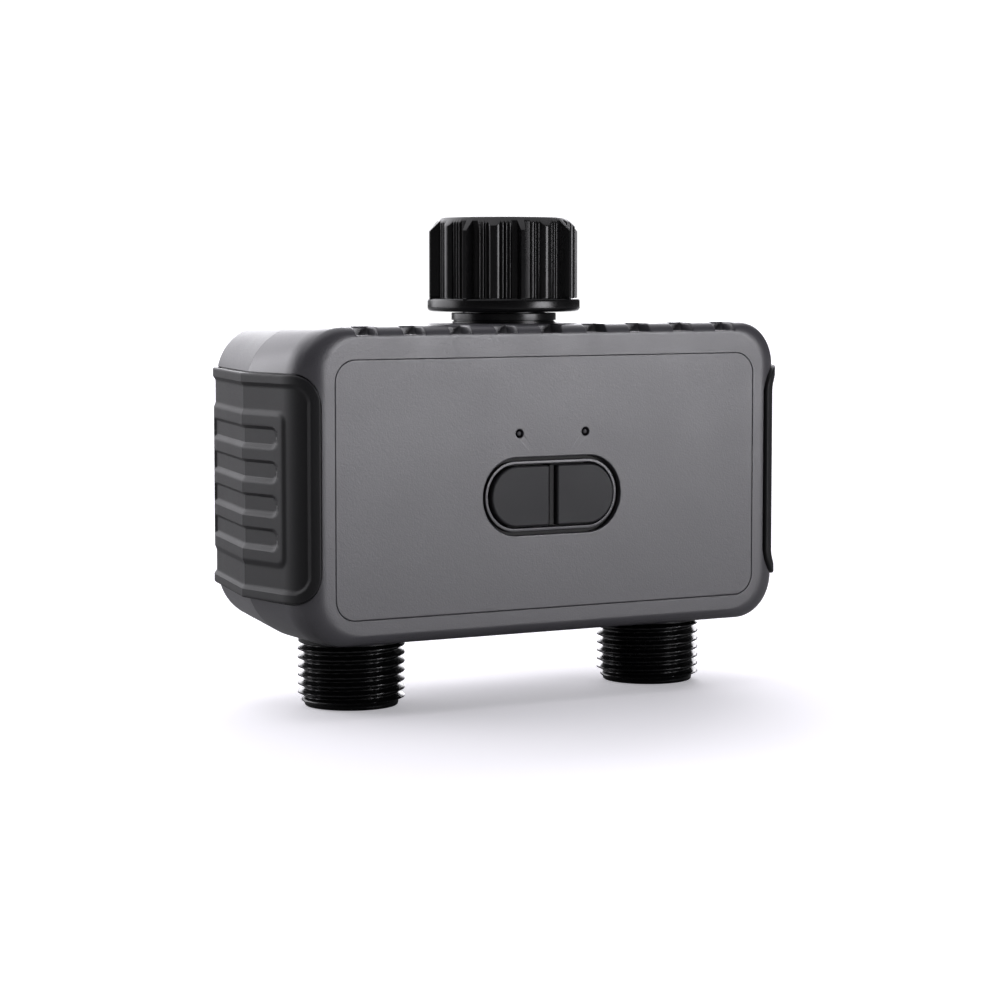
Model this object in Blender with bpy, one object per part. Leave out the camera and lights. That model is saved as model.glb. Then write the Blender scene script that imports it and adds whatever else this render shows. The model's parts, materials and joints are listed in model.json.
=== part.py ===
"""Two-outlet drip irrigation timer, as separate pieces. Metres, +Z up, front towards -Y.

The inlet and both outlets lie in one plane, which is also the parting plane of the housing.
Every piece is modelled with that plane at Y = 0, and set_frame_origin() then moves them all,
so that the origin is under the middle of the object, on the surface that it stands on.
"""
import math

import bmesh
import bpy
from mathutils import Vector

MM = 0.001
GAP = 0.3 * MM

# Housing: rounded-rectangle sections that shrink to the front and to the rear of the parting plane
BODY_MID_Z = 56.85 * MM
PARTING_HALF = (73.8 * MM, 38.9 * MM, 16.5 * MM)
FRONT_HALF = (70.2 * MM, 38.9 * MM, 10.6 * MM)
REAR_HALF = (63.7 * MM, 37.7 * MM, 12.8 * MM)
FRONT_DEPTH = 24.3 * MM
REAR_DEPTH = 40.3 * MM
FRONT_FILLET = (7.6 * MM, 2.9 * MM)
REAR_FILLET = (7.0 * MM, 5.0 * MM)
WALL = 2.4 * MM
FACE_WALL = 3.1 * MM
CORNER_TIGHTENING = 0.3

# Face panel, keys and lamps
PANEL_HALF = (61.45 * MM, 31.75 * MM, 5.5 * MM)
PANEL_Z = 56.07 * MM
PANEL_THICKNESS = 1.3 * MM
KEYS_Z = 52.8 * MM
KEY_OPENING = (18.45 * MM, 8.0 * MM)
KEY_RING = (19.35 * MM, 8.9 * MM)
PANEL_OPENING = (20.2 * MM, 9.75 * MM)
KEY_HALF = (17.95 * MM, 7.6 * MM)
KEY_SPLIT = 1.15 * MM
KEY_PROUD = 0.4 * MM
RING_SUNK = 0.6 * MM
KEY_THICKNESS = 2.5 * MM
KEY_BAR_HALF = 0.75 * MM
KEY_BAR_SUNK = 0.6 * MM
SWITCH_X = 9.5 * MM
LAMP_X = 9.7 * MM
LAMP_Z = 68.6 * MM
LENS_R = 0.7 * MM
LAMP_HOLE_R = 1.05 * MM

# Pockets along the top front edge
POCKET_COUNT = 9
POCKET_PITCH = 13.14 * MM
POCKET_WIDTH = 6.0 * MM
POCKET_FLOOR_Z = 93.6 * MM
POCKET_Y = (-23.4 * MM, -18.0 * MM)

# Grips
GRIP_Z = (28.9 * MM, 84.3 * MM)
GRIP_PROUD = 1.0 * MM
GRIP_SUNK = 0.9 * MM
GRIP_FRONT_ANGLE = math.radians(78)
GRIP_REAR_ANGLE = math.radians(55)
GRIP_CORNER = 5.6 * MM
GRIP_RIM = 3.0 * MM
GRIP_CHANNEL_END = 8.3 * MM
GRIP_CHANNEL_DEPTH = 0.65 * MM
GRIP_SLOTS = 4
GRIP_SLOT_PITCH = 8.3 * MM
GRIP_SLOT_HALF = 2.8 * MM
GRIP_SLOT_DEPTH = 0.8 * MM

# Plumbing
ZONE_X = 44.67 * MM
BORE_R = 8.6 * MM
THREAD_CREST_R = 13.5 * MM
THREAD_ROOT_R = 12.1 * MM
THREAD_PITCH = 2.2 * MM
THREAD_TURNS = 6
NECK_R = 13.45 * MM
NUT_TOP_Z = 122.7 * MM
NUT_TOP_R = 16.1 * MM
NUT_FLANGE_R = 19.6 * MM
NUT_FLANGE_TOP_Z = 102.1 * MM
NUT_BOTTOM_Z = 98.7 * MM
NUT_BASE_R = 17.1 * MM
NUT_RIB_R = 19.55 * MM
NUT_LOBE_R = 18.4 * MM
NUT_RIBS = 8
NUT_RIB_PHASE = 29.1
PIPE_Y = -4.0 * MM
PIPE_R = 6.3 * MM
PIPE_BORE_R = 4.7 * MM
DROP_R = 7.3 * MM
DROP_BORE_R = 4.4 * MM
GALLERY_Z = 36.0 * MM

# Batteries and their door
CELL_R = 7.25 * MM
CELL_LENGTH = 49.5 * MM
CELL_PITCH = 14.9 * MM
CELL_Y = 27.2 * MM
CELL_BOTTOM_Z = 31.0 * MM
TRAY_X = 31.0 * MM
TRAY_Y = (18.2 * MM, 36.9 * MM)
TRAY_Z = (28.5 * MM, 84.6 * MM)
TRAY_WALL = 1.3 * MM
BAY_HALF_Z = (TRAY_Z[1] - TRAY_Z[0]) / 2 - TRAY_WALL
BAY_MID_Z = (TRAY_Z[1] + TRAY_Z[0]) / 2
DOOR_HALF = (38.5 * MM, 29.5 * MM, 5.0 * MM)
DOOR_THICKNESS = 1.5 * MM
DOOR_PROUD = 0.4 * MM
DOOR_SCREW_X = 35.2 * MM
DOOR_SCREW_HEAD = 1.2 * MM

# Fasteners
HOUSING_SCREWS = (
    (-50 * MM, 85.5 * MM),
    (50 * MM, 85.5 * MM),
    (-24 * MM, 23.9 * MM),
    (24 * MM, 23.9 * MM),
)
BOSS_R = 3.1 * MM
SCREW_R = 1.4 * MM
SCREW_HEAD_R = 2.7 * MM

# Distances along Y that several pieces share
INNER_FRONT_Y = -(FRONT_DEPTH - FACE_WALL)
INNER_REAR_Y = REAR_DEPTH - FACE_WALL
BOARD_FRONT_Y = -16.0 * MM
BOARD_BACK_Y = -14.4 * MM
DOOR_FRONT_Y = REAR_DEPTH + DOOR_PROUD - DOOR_THICKNESS
DOOR_SEAT_Y = DOOR_FRONT_Y - GAP
HEAD_SEAT_Y = REAR_DEPTH - 3.2 * MM

SIDES = (("left", -1), ("right", 1))

# name: (colour, roughness, metallic)
FINISHES = {
    "housing_grey": ((0.19, 0.18, 0.20), 0.45, 0.0),
    "key_grey": ((0.055, 0.055, 0.06), 0.5, 0.0),
    "grip_rubber": ((0.02, 0.02, 0.022), 0.6, 0.0),
    "black_plastic": ((0.008, 0.008, 0.009), 0.25, 0.0),
    "seal_rubber": ((0.03, 0.03, 0.03), 0.7, 0.0),
    "lens_clear": ((0.5, 0.5, 0.5), 0.15, 0.0),
    "filter_mesh": ((0.6, 0.6, 0.58), 0.5, 0.0),
    "white_plastic": ((0.75, 0.75, 0.72), 0.4, 0.0),
    "steel": ((0.6, 0.6, 0.6), 0.3, 1.0),
    "winding_tape": ((0.5, 0.28, 0.04), 0.4, 0.0),
    "board_green": ((0.02, 0.16, 0.06), 0.4, 0.0),
    "cell_jacket": ((0.10, 0.22, 0.12), 0.3, 0.0),
    "wire_red": ((0.5, 0.02, 0.02), 0.45, 0.0),
}


def clear_scene():
    for old in list(bpy.data.objects):
        bpy.data.objects.remove(old, do_unlink=True)


def finish_material(name):
    material = bpy.data.materials.get(name)
    if material is None:
        colour, roughness, metallic = FINISHES[name]
        material = bpy.data.materials.new(name)
        material.use_nodes = True
        shader = material.node_tree.nodes["Principled BSDF"]
        shader.inputs["Base Color"].default_value = (*colour, 1.0)
        shader.inputs["Roughness"].default_value = roughness
        shader.inputs["Metallic"].default_value = metallic
        material.diffuse_color = (*colour, 1.0)
    return material


# Mesh helpers

def add_object(name, bm, finish, location=(0, 0, 0)):
    """Turn a bmesh into an object, with its faces pointing out and its curved faces smooth."""
    bmesh.ops.remove_doubles(bm, verts=bm.verts, dist=0.001 * MM)
    bmesh.ops.recalc_face_normals(bm, faces=bm.faces)
    mesh = bpy.data.meshes.new(name)
    bm.to_mesh(mesh)
    bm.free()
    mesh.shade_smooth()
    mesh.set_sharp_from_angle(angle=math.radians(35))
    piece = bpy.data.objects.new(name, mesh)
    piece.location = location
    bpy.context.scene.collection.objects.link(piece)
    if finish:
        mesh.materials.append(finish_material(finish))
    return piece


def combine(target, tool, operation):
    """Boolean the target with a tool, which is then only a guide."""
    tool.hide_render = True
    tool.display_type = "WIRE"
    modifier = target.modifiers.new(tool.name, "BOOLEAN")
    modifier.operation = operation
    modifier.solver = "EXACT"
    modifier.object = tool


def cut(target, *tools):
    for tool in tools:
        combine(target, tool, "DIFFERENCE")


def join(target, *tools):
    for tool in tools:
        combine(target, tool, "UNION")


def rounded_rectangle(half_x, half_z, radius, steps=5):
    """Outline points of a rounded rectangle, anticlockwise from the +X side."""
    points = []
    corners = ((1, 1, 0), (-1, 1, 90), (-1, -1, 180), (1, -1, 270))
    for side_x, side_z, start in corners:
        for step in range(steps + 1):
            angle = math.radians(start + 90 * step / steps)
            x = side_x * (half_x - radius) + radius * math.cos(angle)
            z = side_z * (half_z - radius) + radius * math.sin(angle)
            points.append((x, z))
    return points


def loft(loops, closed=False):
    """Skin a row of loops with equal point counts. The ends are capped unless the row is closed."""
    bm = bmesh.new()
    rings = [[bm.verts.new(point) for point in loop] for loop in loops]
    pairs = list(zip(rings, rings[1:]))
    if closed:
        pairs.append((rings[-1], rings[0]))
    for ring, following in pairs:
        for index in range(len(ring)):
            after = (index + 1) % len(ring)
            bm.faces.new((ring[index], ring[after], following[after], following[index]))
    if not closed:
        bm.faces.new(rings[0])
        bm.faces.new(rings[-1])
    return bm


def plate(outline, y_front, y_back, centre_z=0.0, chamfer=0.0):
    """A flat plate that faces -Y, with an optional chamfer round its front edge."""
    def ring(points, y):
        return [(x, y, centre_z + z) for x, z in points]

    loops = [ring(outline, y_back)]
    if chamfer:
        loops.append(ring(outline, y_front + chamfer))
        loops.append(ring(shrink(outline, chamfer), y_front))
    else:
        loops.append(ring(outline, y_front))
    return loft(loops)


def shrink(outline, distance):
    """Move each outline point inwards along the bisector of its two edges."""
    moved = []
    count = len(outline)
    for index, (x, z) in enumerate(outline):
        before = Vector(outline[index - 1])
        after = Vector(outline[(index + 1) % count])
        here = Vector((x, z))
        first = (here - before).normalized()
        second = (after - here).normalized()
        inward = Vector((-first.y - second.y, first.x + second.x))
        scale = 2.0 / max(inward.length_squared, 0.5)
        moved.append(tuple(here + inward * distance * scale))
    return moved


def turned(profile, segments=24):
    """Spin a closed outline of (radius, height) points round the Z axis."""
    bm = bmesh.new()
    verts = [bm.verts.new((radius, 0, height)) for radius, height in profile]
    edges = [bm.edges.new((verts[i], verts[(i + 1) % len(verts)])) for i in range(len(verts))]
    on_axis = [e for e in edges if all(abs(v.co.x) < 1e-9 for v in e.verts)]
    edges = [e for e in edges if e not in on_axis]
    bmesh.ops.delete(bm, geom=on_axis, context="EDGES")
    bmesh.ops.spin(bm, geom=edges, cent=(0, 0, 0), axis=(0, 0, 1), angle=2 * math.pi,
                   steps=segments, use_merge=True)
    bmesh.ops.remove_doubles(bm, verts=bm.verts, dist=0.001 * MM)
    return bm


def turned_mm(profile_mm, segments=24):
    """Spin an outline whose radii and heights are in millimetres."""
    return turned([(radius * MM, height * MM) for radius, height in profile_mm], segments)


def tip_over(bm, direction):
    """Turn a mesh that was made along +Z so that it points along another axis."""
    turn = Vector((0, 0, 1)).rotation_difference(Vector(direction))
    bmesh.ops.rotate(bm, verts=bm.verts, cent=(0, 0, 0), matrix=turn.to_matrix())
    return bm


def box(low, high, bevel=0.0):
    bm = bmesh.new()
    bmesh.ops.create_cube(bm, size=1.0)
    for vert in bm.verts:
        for axis in range(3):
            vert.co[axis] = (low[axis] + high[axis]) / 2 + vert.co[axis] * (high[axis] - low[axis])
    if bevel:
        bmesh.ops.bevel(bm, geom=bm.edges[:], offset=bevel, segments=1, affect="EDGES")
    return bm


def rod(radius, start, end, segments=16):
    """A plain cylinder between two points."""
    start = Vector(start)
    end = Vector(end)
    bm = bmesh.new()
    turn = (end - start).to_track_quat("Z", "Y").to_matrix().to_4x4()
    turn.translation = (start + end) / 2
    bmesh.ops.create_cone(bm, cap_ends=True, segments=segments, radius1=radius, radius2=radius,
                          depth=(end - start).length, matrix=turn)
    return bm


# Housing sections

def filleted(parting_half, end_half, fillet, depth, y):
    """Half-size of the housing at a distance y from the parting plane, with its end rounded off."""
    slope = (end_half - parting_half) / depth
    beyond = y - (depth - fillet)
    if beyond <= 0:
        return parting_half + slope * y
    at_start = parting_half + slope * (depth - fillet)
    bend = slope * beyond * (1 - beyond / fillet)
    return at_start + bend - fillet + math.sqrt(max(fillet ** 2 - beyond ** 2, 0.0))


def housing_section(y, inset=0.0):
    """Half-width, half-height and corner radius of the housing at a distance y, front negative."""
    end, depth, fillet = (FRONT_HALF, FRONT_DEPTH, FRONT_FILLET)
    if y > 0:
        end, depth, fillet = (REAR_HALF, REAR_DEPTH, REAR_FILLET)
    y = abs(y)
    half_x = filleted(PARTING_HALF[0], end[0], fillet[0], depth, y)
    half_z = filleted(PARTING_HALF[1], end[1], fillet[1], depth, y)
    radius = PARTING_HALF[2] + (end[2] - PARTING_HALF[2]) * y / depth
    radius -= CORNER_TIGHTENING * max(y - (depth - fillet[1]), 0.0)
    return half_x - inset, half_z - inset, radius - inset


def housing_loop(y, inset=0.0, at_y=None):
    half_x, half_z, radius = housing_section(y, inset)
    outline = rounded_rectangle(half_x, half_z, radius)
    return [(x, y if at_y is None else at_y, BODY_MID_Z + z) for x, z in outline]


def fillet_stations(depth, fillet, steps):
    """Distances at which a rounded end is divided, closer together towards the end."""
    start = depth - fillet
    return [start + fillet * math.sin(math.radians(90 * step / steps)) for step in range(steps + 1)]


def half_shell(name, direction):
    """One hollow half of the housing, open at the parting plane."""
    depth = FRONT_DEPTH if direction < 0 else REAR_DEPTH
    fillet = FRONT_FILLET if direction < 0 else REAR_FILLET
    rim = GAP / 2
    inner_depth = depth - FACE_WALL
    stations = reversed([rim] + fillet_stations(depth, fillet[0], 4))
    loops = [housing_loop(direction * y) for y in stations]
    inner_corner = 2.5 * MM
    for y, extra in ((rim, 0), (inner_depth - inner_corner, 0), (inner_depth, inner_corner)):
        widest_y = min(y, depth - fillet[0])
        loops.append(housing_loop(direction * widest_y, WALL + extra, direction * y))
    return add_object(name, loft(loops), "housing_grey")


def pass_through_tools(prefix):
    """Round holes in the parting plane for the neck and the two outlets."""
    neck_hole = rod(NECK_R + GAP, (0, 0, 90 * MM), (0, 0, 99 * MM), 32)
    tools = [add_object(f"{prefix}_neck_hole", neck_hole, None)]
    for side, sign in SIDES:
        x = sign * ZONE_X
        hole = rod(THREAD_CREST_R + 0.2 * MM, (x, 0, 12 * MM), (x, 0, 21 * MM), 24)
        tools.append(add_object(f"{prefix}_outlet_hole_{side}", hole, None))
    return tools


def grown(half, margin):
    return tuple(size + margin for size in half)


def capsule(half, steps=8):
    """Outline with half-round ends."""
    return rounded_rectangle(half[0], half[1], half[1] * 0.9999, steps)


def housing_bosses(target, name, y_from, y_to, hole_r, hole_from, hole_to):
    for number, (x, z) in enumerate(HOUSING_SCREWS, 1):
        boss = rod(BOSS_R, (x, y_from, z), (x, y_to, z), 12)
        join(target, add_object(f"{name}_boss_{number}", boss, None))
    for number, (x, z) in enumerate(HOUSING_SCREWS, 1):
        hole = rod(hole_r, (x, hole_from, z), (x, hole_to, z), 12)
        cut(target, add_object(f"{name}_boss_hole_{number}", hole, None))


def make_front_shell():
    shell = half_shell("front_shell", -1)
    thread_hole_r = SCREW_R - 0.3 * MM + GAP
    housing_bosses(shell, "front", INNER_FRONT_Y - 1 * MM, -GAP / 2, thread_hole_r,
                   INNER_FRONT_Y + 1.5 * MM, 1 * MM)
    post_z = 76 * MM
    for side, sign in SIDES:
        x = sign * 24 * MM
        post = rod(2.2 * MM, (x, INNER_FRONT_Y - 1 * MM, post_z), (x, BOARD_FRONT_Y - GAP, post_z), 10)
        join(shell, add_object(f"board_post_{side}", post, None))
    recess_y = -FRONT_DEPTH + PANEL_THICKNESS + GAP
    recess_outline = rounded_rectangle(*grown(PANEL_HALF, GAP))
    in_front = -FRONT_DEPTH - 2 * MM
    recess = add_object("panel_recess", plate(recess_outline, in_front, recess_y, PANEL_Z), None)
    ring = plate(capsule(KEY_RING), in_front - 1 * MM, recess_y + 1 * MM, KEYS_Z)
    cut(recess, add_object("key_ring", ring, None))
    cut(shell, recess)
    ring_front = -FRONT_DEPTH + RING_SUNK
    step = plate(capsule(grown(KEY_RING, 0.2 * MM)), -FRONT_DEPTH - 1 * MM, ring_front, KEYS_Z)
    cut(shell, add_object("key_ring_step", step, None))
    opening = plate(capsule(KEY_OPENING), in_front, INNER_FRONT_Y + 2 * MM, KEYS_Z)
    cut(shell, add_object("key_opening", opening, None))
    for side, sign in SIDES:
        x = sign * LAMP_X
        hole = rod(LAMP_HOLE_R + GAP, (x, -FRONT_DEPTH, LAMP_Z), (x, INNER_FRONT_Y + 1 * MM, LAMP_Z), 12)
        cut(shell, add_object(f"lamp_hole_{side}", hole, None))
    for index in range(POCKET_COUNT):
        x = (index - (POCKET_COUNT - 1) / 2) * POCKET_PITCH
        pocket = box((x - POCKET_WIDTH / 2, POCKET_Y[0], POCKET_FLOOR_Z),
                     (x + POCKET_WIDTH / 2, POCKET_Y[1], 99 * MM))
        cut(shell, add_object(f"pocket_{index + 1}", pocket, None))
    cut(shell, *pass_through_tools("front"))
    cut(shell, *grip_recesses("front"))


def make_rear_shell():
    shell = half_shell("rear_shell", 1)
    behind = REAR_DEPTH + 2 * MM
    housing_bosses(shell, "rear", GAP / 2, INNER_REAR_Y + 1 * MM, SCREW_R + GAP, -1 * MM, REAR_DEPTH)
    for number, (x, z) in enumerate(HOUSING_SCREWS, 1):
        well = rod(SCREW_HEAD_R + 0.2 * MM, (x, HEAD_SEAT_Y, z), (x, behind, z), 16)
        cut(shell, add_object(f"screw_well_{number}", well, None))
    for side, sign in SIDES:
        x = sign * DOOR_SCREW_X
        boss = rod(2.6 * MM, (x, INNER_REAR_Y - 7 * MM, BODY_MID_Z),
                   (x, INNER_REAR_Y + 1 * MM, BODY_MID_Z), 12)
        join(shell, add_object(f"door_boss_{side}", boss, None))
        hole = rod(1.2 * MM, (x, INNER_REAR_Y - 5 * MM, BODY_MID_Z), (x, REAR_DEPTH, BODY_MID_Z), 10)
        cut(shell, add_object(f"door_boss_hole_{side}", hole, None))
    door_space = rounded_rectangle(*grown(DOOR_HALF, GAP))
    cut(shell, add_object("door_recess", plate(door_space, DOOR_SEAT_Y, behind, BODY_MID_Z), None))
    bay = rounded_rectangle(TRAY_X - TRAY_WALL, BAY_HALF_Z, 1 * MM, 2)
    cut(shell, add_object("bay_opening", plate(bay, TRAY_Y[1] - 2 * MM, REAR_DEPTH, BAY_MID_Z), None))
    cut(shell, *pass_through_tools("rear"))
    cut(shell, *grip_recesses("rear"))


# Grips: a strip bent round the side of the housing

def grip_path():
    """Points and outward directions of the housing's side outline, from the rear to the front."""
    rear_start = REAR_DEPTH - REAR_FILLET[0]
    front_start = FRONT_DEPTH - FRONT_FILLET[0]
    rear_side = Vector((1, 0.26)).normalized()
    front_side = Vector((1, -0.148)).normalized()
    stations = []
    centre = Vector((housing_section(rear_start)[0] - REAR_FILLET[0], rear_start))
    first_angle = math.atan2(rear_side.y, rear_side.x)
    for step in range(3, 0, -1):
        angle = first_angle + (GRIP_REAR_ANGLE - first_angle) * step / 3
        direction = Vector((math.cos(angle), math.sin(angle)))
        stations.append((centre + direction * REAR_FILLET[0], direction))
    for y in (rear_start, 18 * MM):
        stations.append((Vector((housing_section(y)[0], y)), rear_side))
    stations.append((Vector((PARTING_HALF[0], 0)), (rear_side + front_side).normalized()))
    stations.append((Vector((housing_section(-front_start)[0], -front_start)), front_side))
    centre = Vector((housing_section(-front_start)[0] - FRONT_FILLET[0], -front_start))
    first_angle = -math.atan2(front_side.y, front_side.x)
    for step in range(1, 6):
        angle = first_angle + (GRIP_FRONT_ANGLE - first_angle) * step / 5
        direction = Vector((math.cos(angle), -math.sin(angle)))
        stations.append((centre + direction * FRONT_FILLET[0], direction))
    return stations


def grip_heights(path, index, margin):
    """Lower and upper edge of the grip at a station, with its corners rounded."""
    lengths = [0.0]
    for (point, _), (following, _) in zip(path, path[1:]):
        lengths.append(lengths[-1] + (following - point).length)
    to_end = min(lengths[index], lengths[-1] - lengths[index], GRIP_CORNER)
    drop = GRIP_CORNER - math.sqrt(GRIP_CORNER ** 2 - (GRIP_CORNER - to_end) ** 2)
    drop = min(drop, GRIP_CORNER * 0.7)
    return GRIP_Z[0] + drop - margin, GRIP_Z[1] - drop + margin


def grip_profile(low, high, detailed):
    """(height, how proud) points across the grip: rim, channel, pad and slots."""
    edge = 0.5 * MM
    wall = 0.8 * MM
    proud = GRIP_PROUD
    channel = proud - GRIP_CHANNEL_DEPTH if detailed else proud
    slot = proud - GRIP_SLOT_DEPTH if detailed else proud
    middle = (low + high) / 2
    points = [(low, proud - edge), (low + edge, proud)]
    points += [(low + GRIP_RIM, proud), (low + GRIP_RIM + wall, channel)]
    points += [(low + GRIP_CHANNEL_END, channel), (low + GRIP_CHANNEL_END + wall, proud)]
    for index in range(GRIP_SLOTS):
        z = middle + (index - (GRIP_SLOTS - 1) / 2) * GRIP_SLOT_PITCH
        points += [(z - GRIP_SLOT_HALF, proud), (z - GRIP_SLOT_HALF + wall, slot)]
        points += [(z + GRIP_SLOT_HALF - wall, slot), (z + GRIP_SLOT_HALF, proud)]
    points += [(high - GRIP_CHANNEL_END - wall, proud), (high - GRIP_CHANNEL_END, channel)]
    points += [(high - GRIP_RIM - wall, channel), (high - GRIP_RIM, proud)]
    points += [(high - edge, proud), (high, proud - edge)]
    return points


def wrapped_loop(point, direction, sign, profile):
    """Place (height, how proud) points at one station of the housing's side."""
    loop = []
    for z, proud in profile:
        flat = point + direction * proud
        loop.append((sign * flat.x, flat.y, z))
    return loop


def make_grips():
    path = grip_path()
    for side, sign in SIDES:
        loops = []
        for index, (point, direction) in enumerate(path):
            low, high = grip_heights(path, index, 0.0)
            detailed = 1 < index < len(path) - 3
            profile = [(high, -GRIP_SUNK), (low, -GRIP_SUNK)] + grip_profile(low, high, detailed)
            loops.append(wrapped_loop(point, direction, sign, profile))
        add_object(f"grip_{side}", loft(loops), "grip_rubber")


def grip_recesses(prefix):
    """Cutters a little larger than the grips, which seat them in the shells."""
    path = grip_path()
    floor = -GRIP_SUNK - GAP
    outside = 4 * MM
    tools = []
    for side, sign in SIDES:
        loops = []
        for index, (point, direction) in enumerate(path):
            low, high = grip_heights(path, index, GAP)
            if index in (0, len(path) - 1):
                along = Vector((-direction.y, direction.x))
                point = point + along * GAP * (1 if index == 0 else -1)
            profile = ((high, floor), (low, floor), (low, outside), (high, outside))
            loops.append(wrapped_loop(point, direction, sign, profile))
        tools.append(add_object(f"{prefix}_grip_recess_{side}", loft(loops), None))
    return tools


# Face

def make_face_panel():
    back = -FRONT_DEPTH + PANEL_THICKNESS
    outline = rounded_rectangle(*PANEL_HALF, 6)
    panel = add_object("face_panel", plate(outline, -FRONT_DEPTH, back, PANEL_Z), "housing_grey")
    before = -FRONT_DEPTH - 1 * MM
    after = back + 1 * MM
    opening = plate(capsule(PANEL_OPENING), before, after, KEYS_Z)
    cut(panel, add_object("panel_key_opening", opening, None))
    for side, sign in SIDES:
        x = sign * LAMP_X
        hole = rod(LAMP_HOLE_R, (x, before, LAMP_Z), (x, after, LAMP_Z), 12)
        cut(panel, add_object(f"panel_lamp_hole_{side}", hole, None))


def make_keys():
    """Two half-oval keys, side by side."""
    radius = KEY_HALF[1]
    front = -FRONT_DEPTH - KEY_PROUD
    steps = 12
    for side, sign in SIDES:
        outline = [(sign * KEY_SPLIT, -radius)]
        for step in range(steps + 1):
            angle = math.radians(-90 + 180 * step / steps)
            x = KEY_HALF[0] - radius + radius * math.cos(angle)
            outline.append((sign * x, radius * math.sin(angle)))
        outline.append((sign * KEY_SPLIT, radius))
        if sign < 0:
            outline.reverse()
        bm = plate(outline, front, front + KEY_THICKNESS, 0.0, 0.35 * MM)
        add_object(f"button_{side}", bm, "key_grey", (0, 0, KEYS_Z))


def make_button_membrane():
    """Rubber sheet behind the keys, with a dome under each and a bar that fills the slit between them."""
    sheet_front = INNER_FRONT_Y + GAP
    sheet_back = sheet_front + 0.8 * MM
    sheet_half = (21 * MM, 10.4 * MM)
    sheet = add_object("button_membrane", plate(capsule(sheet_half), sheet_front, sheet_back, KEYS_Z),
                       "seal_rubber")
    dome_base = sheet_front + 0.4 * MM
    dome_height = dome_base - (-FRONT_DEPTH - KEY_PROUD + KEY_THICKNESS + GAP)
    for side, sign in SIDES:
        profile = [(0, 0), (5.5 * MM, 0), (4.2 * MM, dome_height), (0, dome_height)]
        dome = tip_over(turned(profile, 16), (0, -1, 0))
        join(sheet, add_object(f"membrane_dome_{side}", dome, None, (sign * SWITCH_X, dome_base, KEYS_Z)))
    bar_half_z = KEY_OPENING[1] - GAP
    bar = box((-KEY_BAR_HALF, -FRONT_DEPTH + KEY_BAR_SUNK, KEYS_Z - bar_half_z),
              (KEY_BAR_HALF, dome_base, KEYS_Z + bar_half_z), 0.2 * MM)
    join(sheet, add_object("membrane_bar", bar, None))


def make_led_lenses():
    """Light pipes: a thin stem that shows in the panel, with a foot behind the wall."""
    front = -FRONT_DEPTH + 0.2 * MM
    foot_r = 1.8 * MM
    foot_start = 3.3 * MM
    foot_end = 4.3 * MM
    profile = [(0, 0), (LENS_R, 0), (LENS_R, foot_start), (foot_r, foot_start), (foot_r, foot_end),
               (0, foot_end)]
    for side, sign in SIDES:
        bm = tip_over(turned(profile, 12), (0, 1, 0))
        add_object(f"led_lens_{side}", bm, "lens_clear", (sign * LAMP_X, front, LAMP_Z))


# Plumbing

def make_manifold():
    """Inlet neck, down pipe, gallery and two valve bodies, moulded in one."""
    profile = [(0, 88.8), (9.6, 88.8), (9.6, 89.8), (15.5, 89.8), (15.5, 91.6), (13.45, 91.6),
               (13.45, 93.9), (12.1, 93.9), (12.1, 95.5), (13.45, 95.5),
               (13.45, 98.3), (10.6, 98.3), (10.6, 104.0), (12.2, 104.0), (12.2, 106.0),
               (8.0, 106.0), (8.0, 91.4), (0, 91.4)]
    manifold = add_object("manifold", turned_mm(profile, 24), "black_plastic")
    pipe = rod(DROP_R, (0, PIPE_Y, GALLERY_Z + 1.1 * MM), (0, PIPE_Y, 90.3 * MM), 18)
    gallery = rod(PIPE_R, (-36.5 * MM, PIPE_Y, GALLERY_Z), (36.5 * MM, PIPE_Y, GALLERY_Z), 14)
    join(manifold, add_object("down_pipe", pipe, None), add_object("gallery", gallery, None))
    # A cup for the diaphragm, with the seat tube standing in it and a socket for the outlet below
    body = [(12.6, 21.6), (12.6, 42.6), (14.0, 42.6), (14.0, 46.0), (11.1, 46.0), (11.1, 29.5),
            (7.4, 29.5), (7.4, 41.0), (6.0, 41.0), (6.0, 27.4), (11.35, 27.4), (11.35, 21.6)]
    for side, sign in SIDES:
        tool = add_object(f"valve_body_{side}", turned_mm(body, 16), None, (sign * ZONE_X, 0, 0))
        join(manifold, tool)
    bore = rod(PIPE_BORE_R, (-37 * MM, PIPE_Y, GALLERY_Z), (37 * MM, PIPE_Y, GALLERY_Z), 14)
    drop = rod(DROP_BORE_R, (0, PIPE_Y, GALLERY_Z + 0.7 * MM), (0, PIPE_Y, 92.5 * MM), 12)
    cut(manifold, add_object("gallery_bore", bore, None), add_object("down_pipe_bore", drop, None))


def outlet_profile():
    """Thread crests outside, a plain bore inside, a flange and a spigot above."""
    points = [(BORE_R, 0), (THREAD_ROOT_R - 0.3 * MM, 0)]
    z = 1.0 * MM
    for _ in range(THREAD_TURNS):
        points.append((THREAD_ROOT_R, z))
        points.append((THREAD_CREST_R, z + THREAD_PITCH / 2))
        z += THREAD_PITCH
    points += [(THREAD_ROOT_R, z), (THREAD_ROOT_R, z + 0.8 * MM)]
    upper = [(13.3, 15.6), (13.3, 21.0), (14.6, 21.0), (14.6, 21.3), (11.0, 21.3), (11.0, 23.2),
             (9.9, 23.2), (9.9, 24.8), (11.0, 24.8), (11.0, 27.1)]
    points += [(r * MM, height * MM) for r, height in upper]
    points.append((BORE_R, 27.1 * MM))
    return points


def make_outlets():
    for side, sign in SIDES:
        add_object(f"outlet_{side}", turned(outlet_profile(), 20), "black_plastic", (sign * ZONE_X, 0, 0))


def ring_profile(mean_r, section_r, z, steps=6):
    points = []
    for step in range(steps):
        angle = 2 * math.pi * step / steps
        points.append((mean_r + section_r * math.cos(angle), z + section_r * math.sin(angle)))
    return points


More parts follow.
